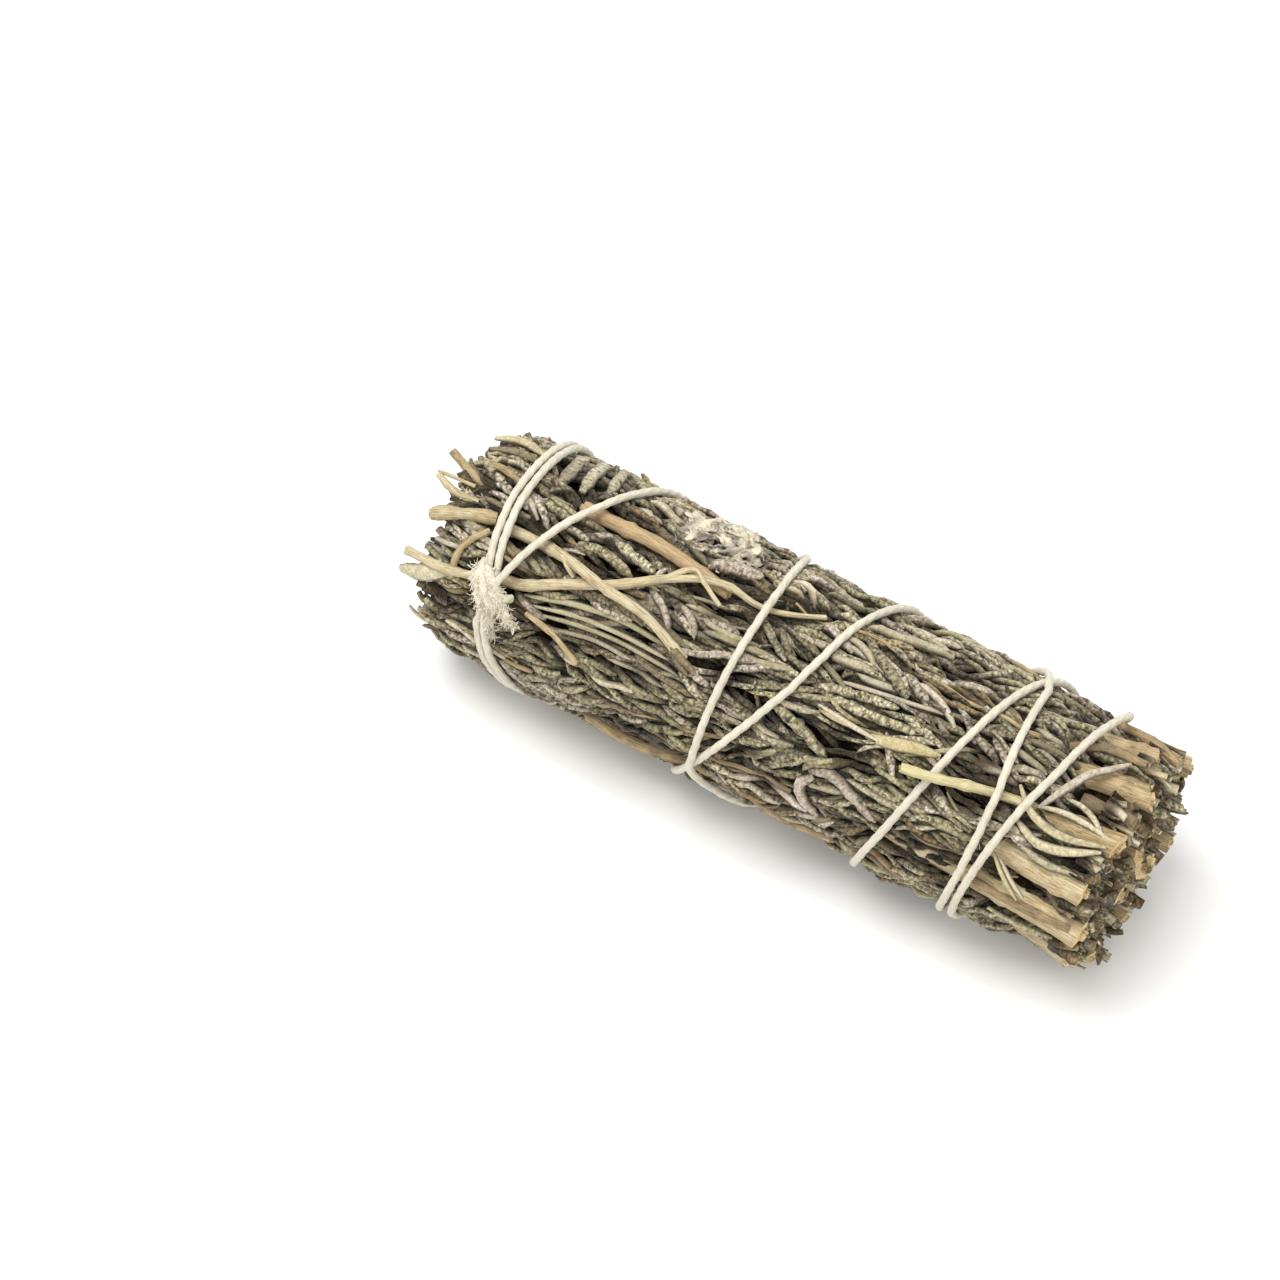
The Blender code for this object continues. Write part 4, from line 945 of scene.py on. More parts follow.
def hold_leaves_down(pile):
    """Keeps the leaves under the string, the loose stems, the stems' cut ends and the woolly tuft."""
    angles, xs, distances = string_route(1.5)
    under_string = 0.05 - STRING_RADIUS / MM
    pile.hold_down((xs, angles, distances), under_string, half_width=0.75, slope=0.75, reach=3.0)
    for radius, places in LOOSE_STEMS.values():
        pile.hold_down(resample(places, 100), -radius * 0.75, radius, slope=1.1, reach=2.5)
    pile.hold_down(resample(BRANCH, 30), lift=-0.5, half_width=0.4, slope=1.1, reach=1.5)
    for radius, _, places in STUBS:
        pile.hold_down(trace(places), -0.2 * radius, radius, slope=1.1, reach=2.0)
    for number in range(SPRIG_COUNT):
        path = np.array(resample(sprig_stem_places(number, STEM_LEFT)[2:], 160))
        bare = path[0] > STEM_BARE_FROM.get(number, STEM_BARE)
        pile.hold_down(path[:, bare], lift=0.1, half_width=1.4, slope=0.9, reach=2.4)
    for x, angle, half_length, half_width in HOLLOWS:
        line = short_line(x, angle, HOLLOW_FLOOR, half_length)
        pile.hold_down(line, 0.0, half_width, slope=1.8, reach=1.6)
    x, angle, half_length, half_width = WOOLLY_PLACE
    for off in np.linspace(-0.8, 0.8, 15) * half_width:
        line = short_line(x, angle + math.degrees(off / MAP_RADIUS), TUFT_FLOOR, half_length * 0.8)
        pile.hold_down(line, lift=0.0, half_width=0.5, slope=0.9, reach=2.0)


def pick_tone(chance, hue):
    """A place on the leaf colours, which the part of the bundle pulls towards olive or towards mauve."""
    picked = chance.choice(list(PILE_TONES), p=list(PILE_TONES.values()))
    return float(np.clip(picked + 0.10 * hue + chance.normal(0, 0.06), 0.05, 0.97))


def leafy_twig(layer, k, sizes, room, twigs):
    """One twig with its pairs of leaves, laid on the pile. Even steps spread the twigs' feet."""
    pile, chance = layer.pile, layer.chance
    half, thick = sizes.half_width / MM, sizes.thickness / MM
    x = FEET_FROM + FEET_LENGTH * ((k * EVEN_STEPS[0] + 0.5) % 1)
    angle = 360 * ((k * EVEN_STEPS[1] + 0.5) % 1)
    length = chance.uniform(20, 42)
    here = pile.cells(min(x, 50), angle)
    heading, bend = pile.lean[here] + chance.normal(0, 0.12), chance.normal(0, 0.15)
    twig_tone = pick_tone(chance, pile.hue[here])
    size = chance.uniform(0.7, 1.35)
    xs, angles = walk(x, angle, heading, bend, 0.0, length)
    inside = (xs > LEFT_CUT) & (xs < RIGHT_CUT)
    if inside.sum() > 12 and layer.rules["weight"] and k % 6 == 0:
        line, turn = xs[inside], angles[inside]
        radius = np.linspace(0.34, 0.18, len(line))
        distance = pile.lay(line, turn, radius, radius * 2, 0.2, BARE_TWIGS)
        if distance is not None:
            points = place(line, turn, distance + radius)
            tone = chance.uniform(0, 0.8)
            twigs.append(strip(points, radial(line, turn, distance), radius, radius, tone, 18))
    for at in np.arange(1.0, length, chance.uniform(1.4, 2.1)):
        index = min(len(xs) - 1, int(at / WALK))
        if not MAP_LEFT + 4 < xs[index] < 54:
            continue
        own = heading + bend * at / length
        for side in chance.permutation([-1, 1]):
            spread = side * chance.uniform(0.12, 0.60)
            hook = chance.normal(0, 1.3) if chance.uniform() < 0.3 else 0.0
            reach = chance.uniform(6.5, 13.5) * (1 - 0.35 * at / length)
            foot = angles[index] + math.degrees(side * 0.3 / MAP_RADIUS)
            curve = -spread * chance.uniform(0.5, 1.3) + chance.normal(0, 0.2)
            layer.lay(
                walk(xs[index], foot, own + spread, curve, hook, reach),
                half * size * chance.uniform(0.7, 1.3), thick * chance.uniform(0.8, 1.15),
                float(np.clip(twig_tone + chance.normal(0, 0.08), 0, 1)), room + chance.uniform(-0.3, 0.4),
                chance.choice([1.0, 0.7, 0.25], p=[0.6, 0.25, 0.15]),
            )


def leafy_strips(sizes):
    """All that is laid on the pile: for each sprig its leaves, and the thin twigs of the whole bundle."""
    chance = np.random.default_rng(LEAF_SEED)
    pile = LeafPile(chance)
    hold_leaves_down(pile)
    twigs = []
    layer = LeafLayer(pile, chance)
    for k in range(sizes.deep_twigs):
        leafy_twig(layer, k, sizes, DEEP_ROOM, twigs)
    layer.rules = CHOSEN_LEAVES
    for half_width, thickness, crimp, tone, places in TOP_LEAVES:
        path = trace(places)
        pile.fill_up(*path, half_width, TOP_LEAF_SEAT)
        layer.lay(path, half_width, thickness, tone, -0.3, crimp, trimmed=False)
    for half_width, thickness, crimp, tone, places in LEAVES_OVER_ALL:
        layer.lay_over(trace(places), half_width, thickness, tone, crimp)
    layer.rules = OUTER_LEAVES
    for k in range(sizes.twigs):
        leafy_twig(layer, k + 1000, sizes, 0.0, twigs)
    layer.rules = GAP_LEAVES
    for k in range(sizes.patches):
        if k % 25 == 0:
            bare = np.flatnonzero((pile.shown == 0) & (pile.limit - pile.height > 0.5) & (abs(pile.x) < 49))
        row, column = divmod(int(chance.choice(bare)), MAP_SHAPE[1])
        x, angle = MAP_LEFT + row * MAP_STEP, column * 360 / MAP_SHAPE[1]
        heading = pile.lean[row, column] + chance.normal(0, 0.5)
        length = chance.uniform(3.5, 9)
        x += 0.5 * length * math.cos(heading)
        angle -= math.degrees(0.5 * length * math.sin(heading) / MAP_RADIUS)
        path = walk(x, angle, heading, chance.normal(0, 0.5), chance.normal(0, 0.8), length)
        half_width = sizes.half_width / MM * chance.uniform(0.6, 1.3)
        thickness = sizes.thickness / MM * chance.uniform(0.75, 1.1)
        tone = pick_tone(chance, pile.hue[row, column])
        layer.lay(path, half_width, thickness, tone, chance.uniform(0.0, 0.8))
    return layer.sprigs, twigs


def end_chips(chance, side, count, least, most):
    """Trimmed leaf ends out of an end face, between those distances from the axis: (angle, strip)."""
    stems = []
    for number in range(SPRIG_COUNT):
        x, angle, distance = sprig_stem_places(number, STEM_LEFT)[-1 if side > 0 else 0]
        stems.append((angle, distance, STEM_ENDS[number][1] if side > 0 else STEM_TIP_RADIUS))
    stems += [(angle, distance, HEART_STEM_RADIUS) for angle, distance in heart_stem_places()]
    chips = []
    while len(chips) < count:
        distance = math.sqrt(chance.uniform(least**2, most**2))
        angle = chance.uniform(0, 360)
        gaps = [
            math.hypot(distance - d, math.radians((angle - a + 180) % 360 - 180) * distance) - r
            for a, d, r in stems
        ]
        if min(gaps) < 0.1:
            continue
        start = side * CHIP_ROOT
        end = side * (CHIP_TIP + min(chance.gamma(1.8, 0.75) - 0.5, 3.4))
        share = np.linspace(0, 1, 14)
        twig = side > 0 and chance.uniform() < 0.45
        bent = 0.25 if twig else 1.1
        curl = chance.normal(0, bent) * share**3
        turn = np.degrees((chance.normal(0, bent) * share**3) / distance)
        points = place(start + (end - start) * share, angle + turn, np.minimum(distance + curl, 15.6))
        facing = chance.uniform(0, 2 * math.pi) + chance.normal(0, 0.8) * share[:, None]
        outward = np.concatenate([np.zeros_like(facing), np.cos(facing), np.sin(facing)], 1)
        width = chance.uniform(0.35, 1.05) * (1 - 0.45 * share**2 * chance.uniform())
        thick = chance.uniform(0.2, 0.5)
        tone = chance.choice(list(CHIP_TONES[side]), p=list(CHIP_TONES[side].values()))
        if twig:
            width = chance.uniform(0.4, 0.8)
            thick = width * chance.uniform(0.6, 1.0)
            tone = chance.choice([BROWN, STRAW], p=[0.4, 0.6])
        tone = float(np.clip(tone + chance.normal(0, 0.04), 0, 1))
        # Painted shade: a chip is dimmed towards its root inside the end face, times a random tone
        light = chance.uniform(0.6, 1.3) * (0.2 + 0.8 * smooth_step(0.3, 0.9, share))
        crimp = 0.15 if twig else 0.8
        chips.append((angle, strip(points, outward, width, thick, tone, rings=7, light=light, crimp=crimp)))
    return chips


def packed_wedge(number):
    """The old leaves at the bottom of the pile, pressed to one mass: rings of points along one sprig."""
    chance = np.random.default_rng(PACKED_SEED + number)
    rings = []
    for x in np.linspace(-47.6, 47.6, 46):
        low, high = seam(number, x), seam(number + 1, x)
        ring = [place(x, high, SPRIG_INNER_RADIUS), place(x, low, SPRIG_INNER_RADIUS)]
        for share in np.arange(8) / 7:
            ring.append(place(x, low + (high - low) * share, FLOOR_OF_CREVICES + chance.uniform(-0.35, 0.25)))
        rings.append(ring)
    return rings


def packed_heart():
    """The old leaves in the middle of the bundle, pressed to one round mass: rings of points."""
    return [[place(x, 15 * k, HEART_RADIUS) for k in range(24)] for x in (-47.4, 0, 47.4)]


def add_closed_loft(mesh, rings, slot):
    """Adds a closed body through rings of points to a bmesh."""
    rows = [[mesh.verts.new(point) for point in ring] for ring in rings]
    made = []
    for low, high in zip(rows, rows[1:]):
        for k in range(len(low)):
            made.append(mesh.faces.new((low[k], low[k - 1], high[k - 1], high[k])))
    made.append(mesh.faces.new(rows[0]))
    made.append(mesh.faces.new(rows[-1][::-1]))
    bmesh.ops.recalc_face_normals(mesh, faces=made)
    for face in made:
        face.material_index = slot


def keep_above_floor(piece):
    """Presses flat on the floor whatever would reach below it."""
    spots = np.zeros(len(piece.data.vertices) * 3, np.float32)
    piece.data.vertices.foreach_get("co", spots)
    spots[2::3] = np.maximum(spots[2::3], FLOOR_GAP)
    piece.data.vertices.foreach_set("co", spots)
    piece.data.update()


def heart_stem_places():
    """The angles and distances of the stems in the middle: one on the axis, and the others round it."""
    return [(0.0, 0.0)] + [(360 / (HEART_STEM_COUNT - 1) * k + 12, 4.7) for k in range(HEART_STEM_COUNT - 1)]


def stem_strip(places, first, last, tone, chance, count):
    """A woody stem along places from left to right, with its radius in mm at both ends, and with joints."""
    xs, angles, distances = resample(places, count)
    share = np.linspace(0, 1, count)
    swelling = np.zeros(count)
    for joint in np.arange(chance.uniform(4, 9), xs[-1] - xs[0], chance.uniform(9, 14)):
        swelling += 0.18 * np.exp(-(((xs - xs[0] - joint) / 0.7) ** 2))
    wander = 0.02 * np.sin(share * 17 + tone * 30)
    uneven = 0.03 * np.sin(share * 31 + tone * 50) + 0.02 * np.sin(share * 67 + tone * 20)
    radius = (first + (last - first) * share) * (0.97 + swelling + uneven)
    points = place(xs, angles + np.degrees(wander / np.maximum(distances, 4)), distances)
    return strip(points, radial(xs, angles, np.maximum(distances, 1.0)), radius, radius, tone, count)


def cut_ends(piece, chance, slant):
    """Gives a stem's ends their slanting, splintered cut, the wood inside the bark and the hollow pith. The
    ends are the only faces with more than five corners."""
    mesh = bmesh.new()
    mesh.from_mesh(piece.data)
    for cap in [face for face in mesh.faces if len(face.verts) > 5]:
        middle, way = cap.calc_center_median(), cap.normal.copy()
        aside = Vector(chance.normal(0, 1, 3))
        aside = (aside - way * aside.dot(way)).normalized() * chance.uniform(0.1, slant)
        for vert in cap.verts:
            reach = min(SLANT_REACH, max(-SLANT_REACH, (vert.co - middle).dot(aside)))
            vert.co += way * (reach + chance.uniform(-SPLINTER, SPLINTER))
        for edge in cap.edges:
            edge.smooth = False
        cap.smooth = False
        cap.material_index = WOOD
        size = math.sqrt(cap.calc_area() / math.pi)
        for inwards, deeper in CUT_STEPS:
            bmesh.ops.inset_individual(mesh, faces=[cap], thickness=size * inwards, depth=size * deeper)
        cap.material_index = PITH
    bmesh.ops.triangulate(mesh, faces=[face for face in mesh.faces if len(face.verts) > 4])
    mesh.to_mesh(piece.data)
    mesh.free()


def hair(chance, start, way, length, radius, tone, rings=6, curl=0.35):
    """A loose cotton or wool hair that curls away from a point."""
    steps = 8
    points = [np.array(start, float)]
    way = np.array(way, float)
    for _ in range(steps):
        way = unit(way + chance.normal(0, curl, 3))
        points.append(points[-1] + way * length * MM / steps)
    outward = np.broadcast_to(unit(np.cross(way, [0.3, 0.5, 0.8])), (steps + 1, 3))
    return strip(np.array(points), outward, radius * np.linspace(1, 0.25, steps + 1), radius, tone, rings)


def material(name, roughness, finish, *given, **fixed):
    """A material with its shader. Its finish returns the nodes that give its colour and its normal."""
    made = bpy.data.materials.new(name)
    made.use_nodes = True
    tree = made.node_tree
    shader = tree.nodes["Principled BSDF"]
    shader.inputs["Roughness"].default_value = roughness
    for key, value in fixed.items():
        shader.inputs[key.replace("_", " ")].default_value = value
    for key, value in zip(("Base Color", "Normal"), finish(tree, *given)):
        tree.links.new(value.outputs[0], shader.inputs[key])
    return made


def leaf_finish(tree, sizes):
    """Dried lavender leaf, felted and crimped: a dull grey green that changes from leaf to leaf, two rows of
    pebbles along each leaf with painted shade in the creases between them and painted light on their tops,
    painted shade on its rolled edges, in small pits and on leaves that lie deep, and pale down where the
    light grazes it."""
    tone, light, crimp, across = (
        node(tree, READ, attribute_name=name).outputs["Fac"] for name in ("tone", "light", "crimp", "across")
    )
    colours = node(tree, COLOURS, {0: tone}, stops=[
        (BROWN, sizes.brown), (SULPHUR, sizes.sulphur), (SHADED, sizes.shaded), (OLIVE, sizes.olive),
        (GREY, sizes.grey), (MAUVE, sizes.mauve), (STRAW, sizes.straw),
    ])
    spot = node(tree, PLACE).outputs["Object"]
    patchy, torn, down = (
        node(tree, NOISE, {"Vector": spot, "Scale": 1 / (size * MM), "Detail": detail, "Roughness": rough})
        for size, detail, rough in ((1.8, 5.0, 0.7), (0.6, 3.0, 0.6), (0.26, 3.0, 0.65))
    )
    run = node(tree, "ShaderNodeSeparateXYZ", {0: node(tree, READ, attribute_name="grain").outputs["Vector"]})
    shift = node(tree, MATH, {0: tone, 1: 57.0}, operation="MULTIPLY")
    along = node(tree, MATH, {0: run, 1: 1 / sizes.pebble, 2: shift}, operation="MULTIPLY_ADD")
    rows = node(tree, VECTOR, {0: along, 1: across})
    uneven = node(tree, VECTOR_MATH, {0: patchy.outputs["Color"], 1: (2.2, 1.1, 0), 2: rows},
                  operation="MULTIPLY_ADD")
    pebbles = node(tree, CELLS, {"Vector": uneven, "Scale": 1.0, "Randomness": 0.8},
                   voronoi_dimensions="2D", feature="F1")
    # Painted shade: each leaf darkens towards its rolled edges, where shade would fall
    edge = node(tree, MATH, {0: across}, operation="ABSOLUTE")
    rolled = node(tree, RANGE, {0: edge, 1: 0.66, 2: 1.0, 3: 1.0, 4: 0.3})
    # Painted shade in the creases between the pebbles and painted light on their tops; the same relief drives
    # the bump
    crease = node(tree, RANGE, {0: pebbles, 1: 0.2, 2: 0.72, 3: 0.16, 4: -0.58})
    # Painted shade in small pits, where the fine noise is low
    pit_shade = node(tree, RANGE, {0: torn, 1: 0.36, 2: 0.47, 3: -0.78, 4: 0.0})
    crease, pit_shade = (
        node(tree, MATH, {0: depth, 1: crimp, 2: 1.0}, operation="MULTIPLY_ADD") for depth in (crease, pit_shade)
    )
    patch = node(tree, RANGE, {0: patchy, 1: 0.3, 2: 0.7, 3: 0.88, 4: 1.24})
    downy = node(tree, RANGE, {0: down, 1: 0.3, 2: 0.7, 3: 0.8, 4: 1.24})
    # Painted shade of edges, creases, pits and depth, times the leaf's own patchy and downy tone; warmer as
    # it darkens
    shade = rolled
    for part in (crease, patch, downy, pit_shade, light):
        shade = node(tree, MATH, {0: shade, 1: part}, operation="MULTIPLY")
    green, blue = (node(tree, MATH, {0: shade, 1: power}, operation="POWER") for power in (1.08, 1.2))
    warm = node(tree, VECTOR, {0: shade, 1: green, 2: blue})
    lit = node(tree, VECTOR_MATH, {0: colours, 1: warm}, operation="MULTIPLY")
    raised = node(tree, BUMP, {"Strength": 1.0, "Distance": 0.18 * MM, "Height": crease})
    felted = node(tree, BUMP, {"Strength": 0.8, "Distance": 0.08 * MM, "Height": down, "Normal": raised})
    return lit, felted


def packed_leaf_shade_finish(tree):
    """Old leaf crumbs pressed together: a nearly black brown that is painted shade at the bottom of the gaps,
    the only place where they are seen.
    """
    spot = node(tree, PLACE).outputs["Object"]
    crumbs = node(tree, CELLS, {"Vector": spot, "Scale": 1 / (0.9 * MM)})
    colours = node(tree, COLOURS, {0: crumbs}, stops=[(0.1, linear("#332716")), (0.7, linear("#100b05"))])
    rough = node(tree, BUMP, {"Strength": 1.0, "Distance": 0.4 * MM, "Height": crumbs})
    return colours, rough


def bark_finish(tree, colours_by_tone, fibre):
    """Dry stem: a woody skin with fine fibres along it, darker in its furrows, partly the fibres' own tone
    and partly painted shade, and rubbed pale in streaks.
    """
    tone, light = (node(tree, READ, attribute_name=name).outputs["Fac"] for name in ("tone", "light"))
    grain = node(tree, READ, attribute_name="grain").outputs["Vector"]
    spot = node(tree, PLACE).outputs["Object"]
    drawn = node(tree, "ShaderNodeMapping", {"Vector": grain, "Scale": (0.07 / fibre, 1 / fibre, 1 / fibre)})
    fibres = node(tree, NOISE, {"Vector": drawn, "Scale": 1.0, "Detail": 3.0, "Roughness": 0.7})
    streaks = node(tree, NOISE, {"Vector": spot, "Scale": 1 / (3.0 * MM), "Detail": 4.0, "Roughness": 0.6})
    total = node(tree, MATH, {0: streaks, 1: 1.2, 2: tone}, operation="MULTIPLY_ADD")
    total = node(tree, MATH, {0: fibres, 1: 0.75, 2: total}, operation="MULTIPLY_ADD")
    share = node(tree, MATH, {0: total, 1: 0.97}, operation="SUBTRACT")
    colours = node(tree, COLOURS, {0: share}, stops=colours_by_tone)
    # Darker where the fibres' relief is low: partly their own tone, partly painted shade in the furrows
    fibre_tone_and_furrow_shade = node(tree, RANGE, {0: fibres, 1: 0.32, 2: 0.54, 3: 0.56, 4: 1.09})
    shade = node(tree, MATH, {0: fibre_tone_and_furrow_shade, 1: light}, operation="MULTIPLY")
    lit = node(tree, VECTOR_MATH, {"Vector": colours, "Scale": shade}, operation="SCALE")
    raised = node(tree, BUMP, {"Strength": 0.9, "Distance": 0.14 * MM, "Height": fibres})
    return lit, raised


def cut_wood_finish(tree, colour):
    """Cut wood end: torn pores, pale where it is clean and brown where it has weathered."""
    spot = node(tree, PLACE).outputs["Object"]
    pores = node(tree, CELLS, {"Vector": spot, "Scale": 1 / (0.22 * MM)})
    worn = node(tree, NOISE, {"Vector": spot, "Scale": 1 / (1.5 * MM), "Detail": 4.0})
    total = node(tree, MATH, {0: pores, 1: 0.5, 2: worn}, operation="MULTIPLY_ADD")
    colours = node(tree, COLOURS, {0: total}, stops=[
        (0.45, [c * 1.15 for c in colour]), (0.75, colour), (1.0, [c * 0.45 for c in colour]),
    ])
    torn = node(tree, BUMP, {"Strength": 1.0, "Distance": 0.15 * MM, "Height": pores})
    return colours, torn


def cotton_finish(tree, colour):
    """Undyed cotton yarn: soft off-white with fine hairs, a little greyer between the plies."""
    grain = node(tree, READ, attribute_name="grain").outputs["Vector"]
    spot = node(tree, PLACE).outputs["Object"]
    drawn = node(tree, "ShaderNodeMapping", {
        "Vector": grain, "Scale": (1 / (1.1 * MM), 1 / (0.16 * MM), 1 / (0.16 * MM)),
    })
    fibres = node(tree, NOISE, {"Vector": drawn, "Scale": 1.0, "Detail": 3.0})
    soiled = node(tree, NOISE, {"Vector": spot, "Scale": 1 / (6.0 * MM), "Detail": 3.0})
    light = node(tree, RANGE, {0: fibres, 1: 0.3, 2: 0.7, 3: 0.8, 4: 1.06})
    dirt = node(tree, RANGE, {0: soiled, 1: 0.35, 2: 0.7, 3: 0.9, 4: 1.0})
    light = node(tree, MATH, {0: light, 1: dirt}, operation="MULTIPLY")
    lit = node(tree, VECTOR_MATH, {"Vector": colour, "Scale": light}, operation="SCALE")
    raised = node(tree, BUMP, {"Strength": 0.7, "Distance": 0.08 * MM, "Height": fibres})
    return lit, raised


def felt_finish(tree, pale, grey):
    """Felt of fine hairs, on a woolly leaf or in teased cotton: pale felt mixed by noise with grey, which is
    painted shade between the tufts.
    """
    spot = node(tree, PLACE).outputs["Object"]
    felt = node(tree, NOISE, {"Vector": spot, "Scale": 1 / (0.4 * MM), "Detail": 5.0, "Roughness": 0.7})
    clumps = node(tree, NOISE, {"Vector": spot, "Scale": 1 / (2.2 * MM), "Detail": 3.0})
    total = node(tree, MATH, {0: felt, 1: 0.5, 2: clumps}, operation="MULTIPLY_ADD")
    colours = node(tree, COLOURS, {0: total}, stops=[(0.6, grey), (0.85, pale)])
    raised = node(tree, BUMP, {"Strength": 1.0, "Distance": 0.2 * MM, "Height": felt})
    return colours, raised


def floor_finish(tree, colour):
    """Matt white studio card, with the faintest unevenness in its tone."""
    cloud = node(tree, NOISE, {"Vector": node(tree, PLACE).outputs["Object"], "Scale": 6.0})
    light = node(tree, RANGE, {0: cloud, 3: 0.99, 4: 1.0})
    return [node(tree, VECTOR_MATH, {"Vector": colour, "Scale": light}, operation="SCALE")]


def hand_over(piece, slot, *nodes):
    """The finished piece stands for its nodes, and moves with the bundle."""
    keep_above_floor(piece)
    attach(piece, "root")
    if nodes:
        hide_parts(*nodes)


def join_packed(piece, rings, packed):
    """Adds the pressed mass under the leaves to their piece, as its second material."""
    mesh = bmesh.new()
    mesh.from_mesh(piece.data)
    add_closed_loft(mesh, rings, slot=1)
    mesh.to_mesh(piece.data)
    mesh.free()
    piece.data.materials.append(packed)


class SMUDGE_STICK_OT_leafy_sprigs(bpy.types.Operator):
    """Lays the crimped leaves of the twelve sprigs, their thin twigs, and the trimmed ends at both sides"""

    bl_idname = "smudge_stick.leafy_sprigs"
    bl_label = "Leafy sprigs"

    def execute(self, context):
        sizes, stems = context.scene.smudge_stick_leaves, context.scene.smudge_stick_stems
        leaf = material("dried_lavender_leaf", 0.9, leaf_finish, sizes, Sheen_Weight=0.2, Sheen_Roughness=0.5,
                        Specular_IOR_Level=0.2)
        packed = material("packed_crumbs_painted_shade", 0.95, packed_leaf_shade_finish, Specular_IOR_Level=0.1)
        sprigs, twigs = leafy_strips(sizes)
        chance = np.random.default_rng(CHIP_SEED)
        for side, count in SPRIG_CHIPS.items():
            for angle, chip in end_chips(chance, side, count, HEART_RADIUS, CHIP_RADIUS):
                sprigs[sprig_at(side * CHIP_MIDDLE, angle)].append(chip)
        heart = []
        for side, count in HEART_CHIPS.items():
            heart += [chip for _, chip in end_chips(chance, side, count, 0.3, HEART_RADIUS)]
        piles = [(f"sprig_{k + 1:02d}_leaves", k, strips, packed_wedge(k)) for k, strips in enumerate(sprigs)]
        piles.append(("heart_leaves", 40, heart, packed_heart()))
        for name, seed, strips, rings in piles:
            piece = swept(f"{name}_crimped", strips, leaf, "half", seed, Groove=0.32, Lumps=sizes.crimp)
            join_packed(piece, rings, packed)
            hand_over(piece, "dried_leaf", name)
        for radius, tone, places in STUBS:
            path = trace(places)
            count = len(path[0])
            size = radius * (1 + 0.12 * np.sin(np.linspace(0, 9, count) + tone * 9))
            twigs.append(strip_over(path, size, size, tone, max(8, count // 2)))
        by_age = [(0.1, stems.weathered), (0.95, stems.straw), (0.55, stems.bark)]
        bark = material("thin_twig_bark", 0.8, bark_finish, by_age, TWIG_FIBRE, Specular_IOR_Level=0.25)
        hand_over(swept("thin_twigs", twigs, bark, 6, seed=50, Lumps=0.12), "dry_stem")
        return {"FINISHED"}


class SMUDGE_STICK_OT_woody_stems(bpy.types.Operator):
    """Makes the woody stems with their cut ends, inside the bundle and loose on its outside"""

    bl_idname = "smudge_stick.woody_stems"
    bl_label = "Woody stems"

    def execute(self, context):
        sizes = context.scene.smudge_stick_stems
        chance = np.random.default_rng(STEM_SEED)
        by_age = [(0.1, sizes.weathered), (0.95, sizes.straw), (0.5, sizes.bark)]
        bark, tan, stalk = (
            material(name, roughness, bark_finish, colours, STEM_FIBRE, Specular_IOR_Level=gloss)
            for name, roughness, colours, gloss in (
                ("dry_lavender_stem", 0.75, by_age, 0.3),
                ("warm_tan_stem", 0.7, [(0.0, sizes.bark), (1.0, sizes.tan)], 0.3),
                ("bleached_stalk", 0.6, [(0.0, sizes.straw), (1.0, sizes.stalk)], 0.35),
            )
        )
        wood = material("cut_stem_end", 0.9, cut_wood_finish, sizes.wood, Specular_IOR_Level=0.2)
        # The pith is coloured far darker than the cut wood: painted shade in its hollow
        dark = [c * 0.35 for c in sizes.wood]
        pith = material("stem_pith_painted_shade", 0.95, cut_wood_finish, dark, Specular_IOR_Level=0.2)

        def stem(name, places, first, last, tone, detail, made_of=bark):
            count, section, slant = detail
            lines = [stem_strip(places, first, last, tone, chance, count)]
            if name == "loose_stem_forked":
                lines.append(stem_strip(BRANCH, *BRANCH_RADII, 0.9, chance, 30))
            piece = swept(f"{name}_fibrous", lines, made_of, section, int(chance.integers(1000)),
                          Lobes=float(sizes.ridges), Lobe_Depth=sizes.ridge_depth, Lumps=0.03)
            piece.data.materials.append(wood)
            piece.data.materials.append(pith)
            cut_ends(piece, chance, slant)
            hand_over(piece, "pale_stalk" if made_of == stalk else "dry_stem", name)

        for number in range(SPRIG_COUNT):
            name = f"sprig_{number + 1:02d}_stem"
            places = sprig_stem_places(number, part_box(name)[0][0] / MM)
            stem(name, places, STEM_TIP_RADIUS, STEM_ENDS[number][1], chance.uniform(0.2, 0.85), SPRIG_STEM)
        for number, (angle, distance) in enumerate(heart_stem_places()):
            name = f"heart_stem_{number + 1}"
            low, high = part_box(name)
            left, right = low[0] / MM, high[0] / MM
            places = [(left, angle, distance), (0, angle + 3, distance), (right, angle, distance)]
            first, last = HEART_STEM_RADIUS * 0.85, HEART_STEM_RADIUS
            stem(name, places, first, last, chance.uniform(0.1, 0.5), HEART_STEM)
        looks = {"loose_stem_thick": (tan, 0.6), "broken_stalk": (stalk, 0.6), "loose_stem_low": (bark, 0.35)}
        for name, (radius, places) in LOOSE_STEMS.items():
            made_of, tone = looks.get(name, (bark, 0.85))
            first, last = LOOSE_STEM_TAPER.get(name, (1.0, 0.75))
            stem(name, places, radius * first, radius * last, tone, LOOSE_STEM, made_of)
        return {"FINISHED"}


